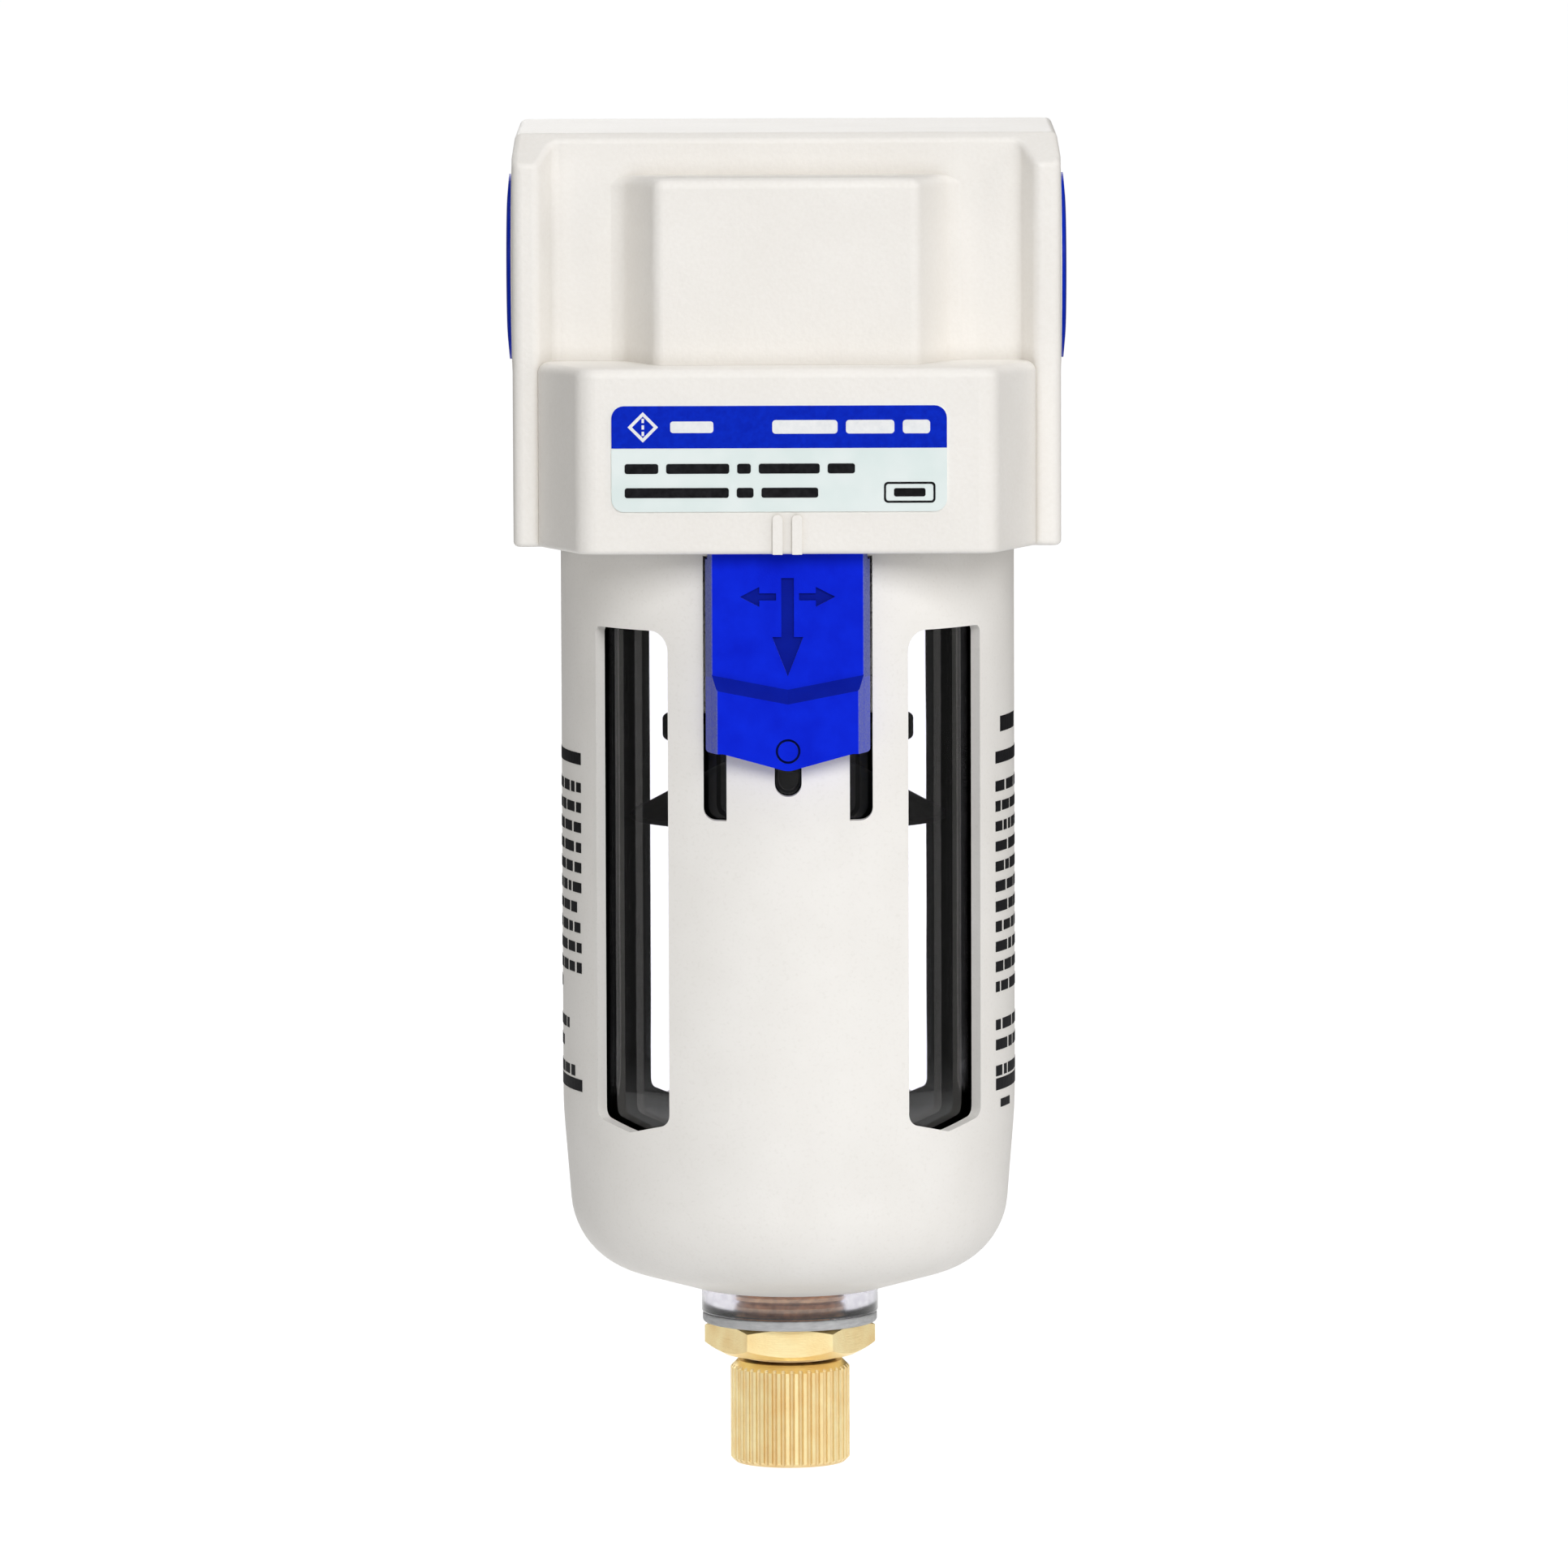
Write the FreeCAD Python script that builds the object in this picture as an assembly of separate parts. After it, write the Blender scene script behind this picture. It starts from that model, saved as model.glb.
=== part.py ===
import FreeCAD, Part
import math
import os

# Compressed air filter with a bayonet bowl, 3/8 inch ports and a manual drain. Millimetres.
# Frame: origin on the bowl's axis at the bottom of the drain knob. +Z is up, the air enters
# from -X and leaves at +X, and the label and the lock button face -Y.

# Cast body
TOP = 130.5
BODY_BOTTOM = 91.0
SIDE_X = 26.25
FLANGE_Y = 17.0
FLANGE_INNER_X = 23.8
FLANGE_ROUND = 1.0
PANEL_X = 22.3
PANEL_Y = 14.0
BOSS_TOP = 126.5
BOSS_X = 12.5
BOSS_BASE_X = 15.9
BOSS_Y = 20.6
BOSS_ROUND = 1.2
BOSS_FOOT_X = 18.5
BOSS_FOOT_ROUND = 2.2
BOSS_FOOT_SINK = 0.05
BOSS_TOP_ROUND = 1.0
COLLAR_TOP = 108.7
COLLAR_X = 19.6
COLLAR_Y = 26.0
COLLAR_ROUND = 2.2
COLLAR_TOP_ROUND = 0.9
TOP_BEVEL_Y = 13.05
TOP_BEVEL_SLOPE = 0.733
TOP_BEVEL_RUN = 8.0
SIDE_BEVEL = 0.35
SIDE_BEVEL_RUN = 1.6
SIDE_BEVEL_HEIGHT = 10.7
TOP_EDGE_ROUND = 0.7
BOTTOM_EDGE_ROUND = 0.5
BAR_X = 0.93
BAR_WIDTH = 0.95
BAR_TOP = 94.8
BAR_PROUD = 0.35

# Ports: 3/8 inch pipe thread, 18 turns to the inch, drawn as rings on a straight bore
PORT_Z = 116.9
PORT_FACE_X = 26.5
PORT_PAD_R = 10.6
PORT_MOUTH_R = 9.1
PORT_MOUTH_DEPTH = 1.3
PORT_R = 7.3
PORT_END_X = 17.6
PORT_RELIEF_R = 7.7
PORT_RELIEF_LENGTH = 1.0
INLET_OPENING_X = 13.0
PORT_PITCH = 25.4 / 18.0
PORT_GROOVES = 5
PORT_FIRST_GROOVE = 1.06
PORT_GROOVE_DEPTH = 0.45
PORT_GROOVE_HALF = 0.24

# Sockets and passages inside the body
TOOTH_RELIEF_R = 23.5
TOOTH_RELIEF_TOP = 93.2
SOCKET_R = 22.4
SHELF_TOP = 95.2
LUG_GROOVE_R = 23.8
LUG_GROOVE_TOP = 98.0
SOCKET_TOP = 101.9
SEAT_R = 20.9
SEAT_TOP = 106.4
CHAMBER_R = 17.0
CHAMBER_TOP = 125.5
HUB_R = 9.5
HUB_BOTTOM = 101.0
OUTLET_CAVITY_R = 7.0
OUTLET_CAVITY_TOP = 122.0
OUTLET_DUCT_R = 6.0
BRIDGE_R = 8.9
STUD_BOSS_R = 3.8
STUD_BOSS_BOTTOM = 110.0
STUD_R = 2.5
STUD_HOLE_TOP = 119.0
ENTRY_HALF_ANGLE = 17.0
LUG_COUNT = 4

# Name label
LABEL_X0 = -16.7
LABEL_X1 = 15.2
LABEL_Z0 = 95.1
LABEL_Z1 = 105.2
LABEL_CORNER = 1.2
LABEL_THICKNESS = 0.2

# Port plugs
PLUG_R = 8.95
PLUG_PROUD = 0.5
PLUG_CROWN = 0.2
PLUG_SKIRT_DEPTH = 1.1
PLUG_SKIRT_WALL = 1.0
PLUG_FLOOR = 0.5

# Filter element stack
DEFLECTOR_R = 16.8
DEFLECTOR_RIM_R = 15.2
DEFLECTOR_TOP = 107.6
DEFLECTOR_BOTTOM = 102.6
DEFLECTOR_SLEEVE_R = 11.0
DEFLECTOR_BORE_R = 9.6
VANE_COUNT = 12
VANE_THICKNESS = 0.9
VANE_HALF_LENGTH = 6.4
VANE_TILT = 38.0
GASKET_R = 9.4
GASKET_BORE_R = 7.2
GASKET_THICKNESS = 0.8
ELEMENT_R = 11.3
ELEMENT_BORE_R = 7.3
BAFFLE_SEAT_TOP = 73.4
BAFFLE_SEAT_BOTTOM = 71.1
BAFFLE_SEAT_R = 12.2
BAFFLE_STEM_R = 5.5
BAFFLE_TIP_R = 15.3
BAFFLE_TIP_Z = 64.0
BAFFLE_CONE_SLOPE = 0.51
BAFFLE_UNDERCUT = 1.8
BAFFLE_TIP_EDGE = 0.5
BAFFLE_BOTTOM = 60.0
STUD_BOTTOM = 63.0

# Clear bowl
BOWL_TOP = 106.0
BOWL_NECK_R = 20.6
BOWL_FLANGE_R = 21.8
BOWL_FLANGE_TOP = 101.6
BOWL_R = 20.2
BOWL_INNER_R = 17.5
BOWL_TAPER_TOP = 36.0
BOWL_CORNER_R = 19.15
BOWL_CORNER_ROUND = 7.0
BOWL_INNER_CORNER_R = 16.6
BOWL_INNER_CORNER_ROUND = 5.5
O_RING_SECTION_R = 1.0
O_RING_CENTRE_R = 19.83
O_RING_Z = 103.8
O_RING_GROOVE_R = 18.8
O_RING_GROOVE_HALF = 1.2
BOSS_HOLE_R = 5.5
BOWL_BOSS_R = 8.6
BOWL_BOSS_TOP = 19.0
BOWL_SEAT_EDGE_R = 8.2
BOWL_FLOOR = 21.8
BOTTOM_SLOPE = 0.289
TAPER_ROUND = 50.0

# Bowl guard
GUARD_TOP = 100.0
GUARD_R = 22.0
GUARD_WALL = 1.2
GUARD_TAPER_TOP = 35.2
GUARD_CORNER_R = 20.83
GUARD_CORNER_Z = 20.69
GUARD_CORNER_ROUND = 7.8
GUARD_HOLE_R = 8.9
LUG_INNER_R = 21.4
LUG_R = 23.4
LUG_BOTTOM = 95.5
LUG_TOP = 97.7
LUG_HALF_ANGLE = 15.0
SLOT_ANGLE = 44.4
BACK_SLOT_ANGLE = 40.1
BACK_SLOT_HALF_WIDTH = 3.35
SLOT_HALF_WIDTH = 4.88
SLOT_TOP = 83.0
SLOT_BOTTOM = 35.4
SLOT_POINT = 34.3
WINDOW_X = 8.1
WINDOW_TOP = 90.4
WINDOW_BOTTOM = 65.0
TONGUE_X = 5.9
TONGUE_TOP = 88.4
TONGUE_SLOT_X = 1.285
TONGUE_SLOT_BOTTOM = 67.4
TONGUE_SLOT_TOP = 75.0
POCKET_X = 1.5
POCKET_BOTTOM = 77.0

# Lock button and its spring
BUTTON_TOP = 90.85
BUTTON_SIDE_BOTTOM = 71.75
BUTTON_POINT = 70.05
BUTTON_X = 7.86
BUTTON_BASE_Y = 21.6
BUTTON_BACK_Y = 20.0
BUTTON_BACK_TOP = 90.2
BUTTON_UPPER_Y = 23.2
BUTTON_UPPER_X = 7.25
BUTTON_LOWER_Y = 24.4
BUTTON_LOWER_X = 6.79
BUTTON_PLATE_BACK_Y = 22.3
BUTTON_HOLLOW_X = 6.2
CHEVRON_Z = 77.8
CHEVRON_RISE = 0.193
CHEVRON_SLOPE = 1.083
SPRING_RIB_X = 1.3
SPRING_RIB_BACK_Y = 20.9
GUIDE_RIB_X = 1.05
GUIDE_RIB_BACK_Y = 21.0
GUIDE_RIB_BOTTOM = 71.1
GUIDE_RIB_TOP = 74.6
MARK_DEPTH = 0.3
DOWN_ARROW_TOP = 88.5
DOWN_ARROW_TIP = 79.1
DOWN_ARROW_HEAD = 3.75
DOWN_ARROW_HEAD_HALF = 1.48
DOWN_ARROW_SHAFT_HALF = 0.6
SIDE_ARROW_X = 1.1
SIDE_ARROW_TIP = 4.55
SIDE_ARROW_HEAD = 1.85
SIDE_ARROW_HEAD_HALF = 0.95
SIDE_ARROW_SHAFT_HALF = 0.34
SIDE_ARROW_Z = 86.7
RING_Z = 72.0
RING_R = 1.18
RING_LINE = 0.22
TOOTH_X = 3.0
TOOTH_TOP = 92.8
TOOTH_Y0 = 22.5
TOOTH_Y1 = 23.15
SPRING_R = 0.95
SPRING_WIRE_R = 0.16
SPRING_Y = 21.28
SPRING_TOP = 86.0
SPRING_TURNS = 9

# Drain
DRAIN_FLANGE_R = 7.8
DRAIN_FLANGE_TOP = 23.6
DRAIN_RING_SECTION_R = 0.55
DRAIN_RING_R = 6.2
DRAIN_RING_GROOVE_R = 7.1
DRAIN_THREAD_R = 5.3
DRAIN_THREAD_DEPTH = 0.45
DRAIN_THREAD_PITCH = 1.0
DRAIN_BORE_R = 3.3
DRAIN_SEAT_Z = 22.6
DRAIN_SEAT_HOLE_R = 1.5
DRAIN_NECK_R = 4.6
DRAIN_BOTTOM = 10.25
NUT_TOP = 13.8
NUT_BOTTOM = 10.7
NUT_FLATS = 14.4
NUT_BORE_R = 5.35
NUT_BOTTOM_CHAMFER = 0.7
NUT_TOP_CHAMFER = 0.1
WASHER_R = 8.5
WASHER_TOP = 14.8
KNOB_TOP = 10.0
KNOB_R = 5.8
KNOB_FLUTES = 42
KNOB_FLUTE_DEPTH = 0.28
KNOB_FLUTE_TOP = 9.3
KNOB_OUTLET_R = 2.0
KNOB_OUTLET_DEPTH = 8.0
STEM_R = 3.24
STEM_SHOULDER = 18.5
STEM_NECK_R = 1.9
STEM_NECK_TOP = 20.5
STEM_TIP_R = 1.2
STEM_TIP_TOP = 21.5
STEM_HOLE_R = 0.8
STEM_CROSS_R = 0.5
STEM_CROSS_Z = 19.5
SEAL_R = 2.6
SEAL_TOP = 22.55
SEAL_BOTTOM = 20.6
SEAL_RECESS_R = 1.25
SEAL_RECESS_TOP = 21.6

REACH = 60.0
X_AXIS = FreeCAD.Vector(1, 0, 0)
Y_AXIS = FreeCAD.Vector(0, 1, 0)
Z_AXIS = FreeCAD.Vector(0, 0, 1)
ORIGIN = FreeCAD.Vector(0, 0, 0)


def in_plan(u, v):
    return FreeCAD.Vector(u, v, 0)


def in_elevation(u, v):
    return FreeCAD.Vector(u, 0, v)


def in_side_view(u, v):
    return FreeCAD.Vector(0, u, v)


def rounded_wire(corners, place):
    """A closed wire through corners (u, v, radius), each corner rounded by its own radius."""
    starts = []
    middles = []
    ends = []
    for index, corner in enumerate(corners):
        here = place(corner[0], corner[1])
        before = place(*corners[index - 1][:2])
        after = place(*corners[(index + 1) % len(corners)][:2])
        back = (before - here).normalize()
        ahead = (after - here).normalize()
        half = back.getAngle(ahead) / 2
        radius = corner[2]
        if radius == 0:
            starts.append(here)
            middles.append(None)
            ends.append(here)
            continue
        setback = radius / math.tan(half)
        bisector = (back + ahead).normalize()
        starts.append(here + back * setback)
        middles.append(here + bisector * (radius / math.sin(half) - radius))
        ends.append(here + ahead * setback)
    edges = []
    for index in range(len(corners)):
        if ends[index - 1].distanceToPoint(starts[index]) > 1e-6:
            edges.append(Part.makeLine(ends[index - 1], starts[index]))
        if middles[index] is not None:
            edges.append(Part.Arc(starts[index], middles[index], ends[index]).toShape())
    return Part.Wire(edges)


def prism(corners, place, start, length):
    """The outline raised along the normal of its plane: length is a vector, start an offset."""
    face = Part.Face(rounded_wire(corners, place))
    face.translate(start)
    return face.extrude(length)


def upright(corners, bottom, top):
    return prism(corners, in_plan, Z_AXIS * bottom, Z_AXIS * (top - bottom))


def through_y(corners, y0, y1):
    return prism(corners, in_elevation, Y_AXIS * y0, Y_AXIS * (y1 - y0))


def turned(corners, angle=360.0):
    """The half section (r, z, radius) turned about Z."""
    return Part.Face(rounded_wire(corners, in_elevation)).revolve(ORIGIN, Z_AXIS, angle)


def disc(radius, bottom, top):
    return Part.makeCylinder(radius, top - bottom, Z_AXIS * bottom, Z_AXIS)


def ring(outer, inner, bottom, top):
    return disc(outer, bottom, top).cut(disc(inner, bottom - 1, top + 1))


def box(x0, x1, y0, y1, z0, z1):
    return Part.makeBox(x1 - x0, y1 - y0, z1 - z0, FreeCAD.Vector(x0, y0, z0))


def sector(inner, outer, bottom, top, middle, half_angle):
    """Part of a ring, half_angle degrees each side of the direction middle."""
    corners = [(inner, bottom, 0), (outer, bottom, 0), (outer, top, 0), (inner, top, 0)]
    shape = turned(corners, 2 * half_angle)
    shape.rotate(ORIGIN, Z_AXIS, middle - half_angle)
    return shape


def four_way(quarter):
    """An outline from its first quadrant, mirrored about both axes."""
    first = list(quarter)
    second = [(-x, y, r) for x, y, r in reversed(first)]
    third = [(-x, -y, r) for x, y, r in first]
    fourth = [(x, -y, r) for x, y, r in reversed(first)]
    return first + second + third + fourth


def mirrored_x(shape):
    return shape.mirror(ORIGIN, X_AXIS)


def mirrored_y(shape):
    return shape.mirror(ORIGIN, Y_AXIS)


def edges_at_height(shape, z):
    found = []
    for edge in shape.Edges:
        if abs(edge.BoundBox.ZMin - z) < 1e-6 and abs(edge.BoundBox.ZMax - z) < 1e-6:
            found.append(edge)
    return found


def rounded_at(shape, z, radius):
    """The shape with every edge that lies level at height z rounded."""
    return shape.makeFillet(radius, edges_at_height(shape, z))


# ---------------------------------------------------------------- body

def body_outside():
    flange = upright(
        four_way([(SIDE_X, FLANGE_Y, FLANGE_ROUND), (FLANGE_INNER_X, FLANGE_Y, FLANGE_ROUND),
                  (PANEL_X, PANEL_Y, FLANGE_ROUND)]),
        BODY_BOTTOM,
        TOP,
    )
    foot_y = PANEL_Y - BOSS_FOOT_SINK
    boss = upright(
        four_way([(BOSS_FOOT_X, foot_y, 0), (BOSS_BASE_X, foot_y, BOSS_FOOT_ROUND),
                  (BOSS_X, BOSS_Y, BOSS_ROUND)]),
        BODY_BOTTOM,
        BOSS_TOP,
    )
    boss = rounded_at(boss, BOSS_TOP, BOSS_TOP_ROUND)
    collar = upright(
        four_way([(FLANGE_INNER_X, FLANGE_Y, 0), (COLLAR_X, COLLAR_Y, COLLAR_ROUND)]),
        BODY_BOTTOM,
        COLLAR_TOP,
    )
    collar = rounded_at(collar, COLLAR_TOP, COLLAR_TOP_ROUND)
    block = flange.cut(top_bevels())
    lowest_bevel = TOP - SIDE_BEVEL_HEIGHT
    top_edges = [edge for edge in block.Edges if edge.BoundBox.ZMin > lowest_bevel - 1]
    block = block.makeFillet(TOP_EDGE_ROUND, top_edges)
    whole = block.fuse([boss, collar, port_pads()]).removeSplitter()
    return rounded_at(whole, BODY_BOTTOM, BOTTOM_EDGE_ROUND)


def top_bevels():
    """What the sloping front and back edges and the steeper side edges take off the top."""
    front_end = -TOP_BEVEL_Y - TOP_BEVEL_RUN
    front = prism(
        [(-TOP_BEVEL_Y, TOP, 0), (front_end, TOP - TOP_BEVEL_SLOPE * TOP_BEVEL_RUN, 0),
         (front_end, TOP + 1, 0), (-TOP_BEVEL_Y, TOP + 1, 0)],
        in_side_view,
        X_AXIS * -REACH / 2,
        X_AXIS * REACH,
    )
    side = SIDE_X - SIDE_BEVEL
    side_end = side + SIDE_BEVEL_RUN
    right = through_y(
        [(side, TOP, 0), (side_end, TOP - SIDE_BEVEL_HEIGHT, 0), (side_end, TOP + 1, 0), (side, TOP + 1, 0)],
        -REACH / 2,
        REACH / 2,
    )
    return front.fuse([mirrored_y(front), right, mirrored_x(right)])


def port_pads():
    length = 2 * PORT_FACE_X
    return Part.makeCylinder(PORT_PAD_R, length, FreeCAD.Vector(-PORT_FACE_X, 0, PORT_Z), X_AXIS)


def alignment_bars():
    bars = []
    for centre in (-BAR_X, BAR_X):
        half = BAR_WIDTH / 2
        corners = [(centre - half, BODY_BOTTOM, 0), (centre + half, BODY_BOTTOM, 0),
                   (centre + half, BAR_TOP, half * 0.98), (centre - half, BAR_TOP, half * 0.98)]
        bars.append(through_y(corners, -COLLAR_Y - BAR_PROUD, -COLLAR_Y + 1.5))
    return bars


def socket_space():
    """The stepped socket for the bowl and the air chamber above it, less the outlet hub."""
    steps = [(0, BODY_BOTTOM - 1), (TOOTH_RELIEF_R, BODY_BOTTOM - 1), (TOOTH_RELIEF_R, TOOTH_RELIEF_TOP),
             (SOCKET_R, TOOTH_RELIEF_TOP), (SOCKET_R, SHELF_TOP), (LUG_GROOVE_R, SHELF_TOP),
             (LUG_GROOVE_R, LUG_GROOVE_TOP), (SOCKET_R, LUG_GROOVE_TOP), (SOCKET_R, SOCKET_TOP),
             (SEAT_R, SOCKET_TOP), (SEAT_R, SEAT_TOP), (CHAMBER_R, SEAT_TOP),
             (CHAMBER_R, CHAMBER_TOP), (0, CHAMBER_TOP)]
    space = turned([(r, z, 0) for r, z in steps])
    entries = []
    for index in range(LUG_COUNT):
        middle = 360.0 / LUG_COUNT * index
        entries.append(
            sector(SOCKET_R - 1, LUG_GROOVE_R, BODY_BOTTOM - 1, SHELF_TOP + 0.5, middle, ENTRY_HALF_ANGLE)
        )
    hub = disc(HUB_R, HUB_BOTTOM, CHAMBER_TOP + 1)
    bridge = Part.makeCylinder(BRIDGE_R, REACH / 2, Z_AXIS * PORT_Z, X_AXIS)
    return space.cut(hub.fuse(bridge)).fuse(entries)


def outlet_space():
    """The cavity inside the hub, round the boss for the stud, and the duct to the outlet port."""
    cavity = disc(OUTLET_CAVITY_R, HUB_BOTTOM - 1, OUTLET_CAVITY_TOP)
    duct = Part.makeCylinder(OUTLET_DUCT_R, PORT_END_X, Z_AXIS * PORT_Z, X_AXIS)
    boss = disc(STUD_BOSS_R, STUD_BOSS_BOTTOM, OUTLET_CAVITY_TOP + 2)
    stud_hole = disc(STUD_R, STUD_BOSS_BOTTOM - 1, STUD_HOLE_TOP)
    return cavity.fuse(duct).cut(boss).fuse(stud_hole)


def port_space():
    """One threaded port, on the +X side: mouth, ringed bore and the relief behind it."""
    wall_start = PORT_FACE_X - PORT_MOUTH_DEPTH
    steps = [(PORT_FACE_X + 1, 0), (PORT_FACE_X + 1, PORT_MOUTH_R), (wall_start, PORT_MOUTH_R),
             (wall_start, PORT_R)]
    for index in range(PORT_GROOVES):
        middle = wall_start - PORT_FIRST_GROOVE - PORT_PITCH * index
        steps.append((middle + PORT_GROOVE_HALF, PORT_R))
        steps.append((middle, PORT_R + PORT_GROOVE_DEPTH))
        steps.append((middle - PORT_GROOVE_HALF, PORT_R))
    relief_end = PORT_END_X - PORT_RELIEF_LENGTH
    steps += [(PORT_END_X, PORT_R), (PORT_END_X, PORT_RELIEF_R), (relief_end, PORT_RELIEF_R), (relief_end, 0)]
    face = Part.Face(rounded_wire([(x, r, 0) for x, r in steps], in_elevation))
    space = face.revolve(ORIGIN, X_AXIS, 360)
    space.translate(Z_AXIS * PORT_Z)
    return space


def inlet_break_through():
    """Where the inlet port opens into the air chamber."""
    length = PORT_END_X - INLET_OPENING_X
    return Part.makeCylinder(PORT_RELIEF_R, length, FreeCAD.Vector(-PORT_END_X, 0, PORT_Z), X_AXIS)


def body():
    inlet = mirrored_x(port_space()).fuse(inlet_break_through())
    solid = body_outside().fuse(alignment_bars())
    return solid.cut([socket_space(), outlet_space(), port_space(), inlet])


def name_label():
    corners = [(LABEL_X0, LABEL_Z0, LABEL_CORNER), (LABEL_X1, LABEL_Z0, LABEL_CORNER),
               (LABEL_X1, LABEL_Z1, LABEL_CORNER), (LABEL_X0, LABEL_Z1, LABEL_CORNER)]
    return through_y(corners, -COLLAR_Y - LABEL_THICKNESS, -COLLAR_Y)


def port_plug():
    """A moulded cap whose skirt grips the port's mouth, on the +X side."""
    outer = PORT_FACE_X + PLUG_PROUD
    inner = PORT_FACE_X - PLUG_SKIRT_DEPTH
    section = [(inner, PLUG_R, 0), (outer - PLUG_CROWN, PLUG_R, 0), (outer, PLUG_R * 0.75, 8),
               (outer, 0, 0), (PORT_FACE_X - PLUG_FLOOR, 0, 0),
               (PORT_FACE_X - PLUG_FLOOR, PLUG_R - PLUG_SKIRT_WALL, 0), (inner, PLUG_R - PLUG_SKIRT_WALL, 0)]
    plug = Part.Face(rounded_wire(section, in_elevation)).revolve(ORIGIN, X_AXIS, 360)
    plug.translate(Z_AXIS * PORT_Z)
    return plug


# ---------------------------------------------------------------- element stack

def deflector():
    """A ring of slanted vanes that sets the incoming air turning round the bowl."""
    rim = ring(DEFLECTOR_R, DEFLECTOR_RIM_R, DEFLECTOR_BOTTOM, DEFLECTOR_TOP)
    sleeve = ring(DEFLECTOR_SLEEVE_R, DEFLECTOR_BORE_R, DEFLECTOR_BOTTOM, DEFLECTOR_TOP)
    band = ring(DEFLECTOR_RIM_R + 0.3, DEFLECTOR_SLEEVE_R - 0.3, DEFLECTOR_BOTTOM, DEFLECTOR_TOP)
    middle = (DEFLECTOR_TOP + DEFLECTOR_BOTTOM) / 2
    vanes = []
    for index in range(VANE_COUNT):
        vane = box(DEFLECTOR_SLEEVE_R - 1, DEFLECTOR_RIM_R + 1, -VANE_THICKNESS / 2, VANE_THICKNESS / 2,
                   middle - VANE_HALF_LENGTH, middle + VANE_HALF_LENGTH)
        vane.rotate(Z_AXIS * middle, X_AXIS, VANE_TILT)
        vane.rotate(ORIGIN, Z_AXIS, 360.0 / VANE_COUNT * index)
        vanes.append(vane.common(band))
    return rim.fuse([sleeve] + vanes).removeSplitter()


def element_top_gasket():
    return ring(GASKET_R, GASKET_BORE_R, HUB_BOTTOM - GASKET_THICKNESS, HUB_BOTTOM)


def element_bottom_gasket():
    return ring(GASKET_R, GASKET_BORE_R, BAFFLE_SEAT_TOP, BAFFLE_SEAT_TOP + GASKET_THICKNESS)


def filter_element():
    bottom = BAFFLE_SEAT_TOP + GASKET_THICKNESS
    top = HUB_BOTTOM - GASKET_THICKNESS
    corners = [(ELEMENT_BORE_R, bottom, 0), (ELEMENT_R, bottom, 0.4), (ELEMENT_R, top, 0.4),
               (ELEMENT_BORE_R, top, 0)]
    return turned(corners)


def element_stud():
    """The threaded rod from the body's boss down through the element to the baffle."""
    top = STUD_HOLE_TOP - 0.5
    return turned([(0, STUD_BOTTOM, 0), (STUD_R - 0.4, STUD_BOTTOM, 0), (STUD_R, STUD_BOTTOM + 0.4, 0),
                   (STUD_R, top - 0.4, 0), (STUD_R - 0.4, top, 0), (0, top, 0)])


def baffle():
    """The seat that clamps the element, with the umbrella that keeps the sump quiet below it."""
    cone_top = BAFFLE_TIP_Z + BAFFLE_CONE_SLOPE * (BAFFLE_TIP_R - BAFFLE_STEM_R)
    corners = [(STUD_R, BAFFLE_SEAT_TOP, 0), (BAFFLE_SEAT_R, BAFFLE_SEAT_TOP, 0.4),
               (BAFFLE_SEAT_R, BAFFLE_SEAT_BOTTOM, 0.4), (BAFFLE_STEM_R, BAFFLE_SEAT_BOTTOM, 0.6),
               (BAFFLE_STEM_R, cone_top, 0.6), (BAFFLE_TIP_R, BAFFLE_TIP_Z, 0),
               (BAFFLE_TIP_R, BAFFLE_TIP_Z - BAFFLE_TIP_EDGE, 0),
               (BAFFLE_STEM_R, cone_top - BAFFLE_UNDERCUT, 0.6),
               (BAFFLE_STEM_R, BAFFLE_BOTTOM, 0.8), (0, BAFFLE_BOTTOM, 0), (0, STUD_BOTTOM, 0),
               (STUD_R, STUD_BOTTOM, 0)]
    return turned(corners)


# ---------------------------------------------------------------- bowl and guard

def sloped(r, r0, z0):
    """Height at radius r on the bottom's slope that passes through (r0, z0)."""
    return z0 + BOTTOM_SLOPE * (r - r0)


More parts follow.
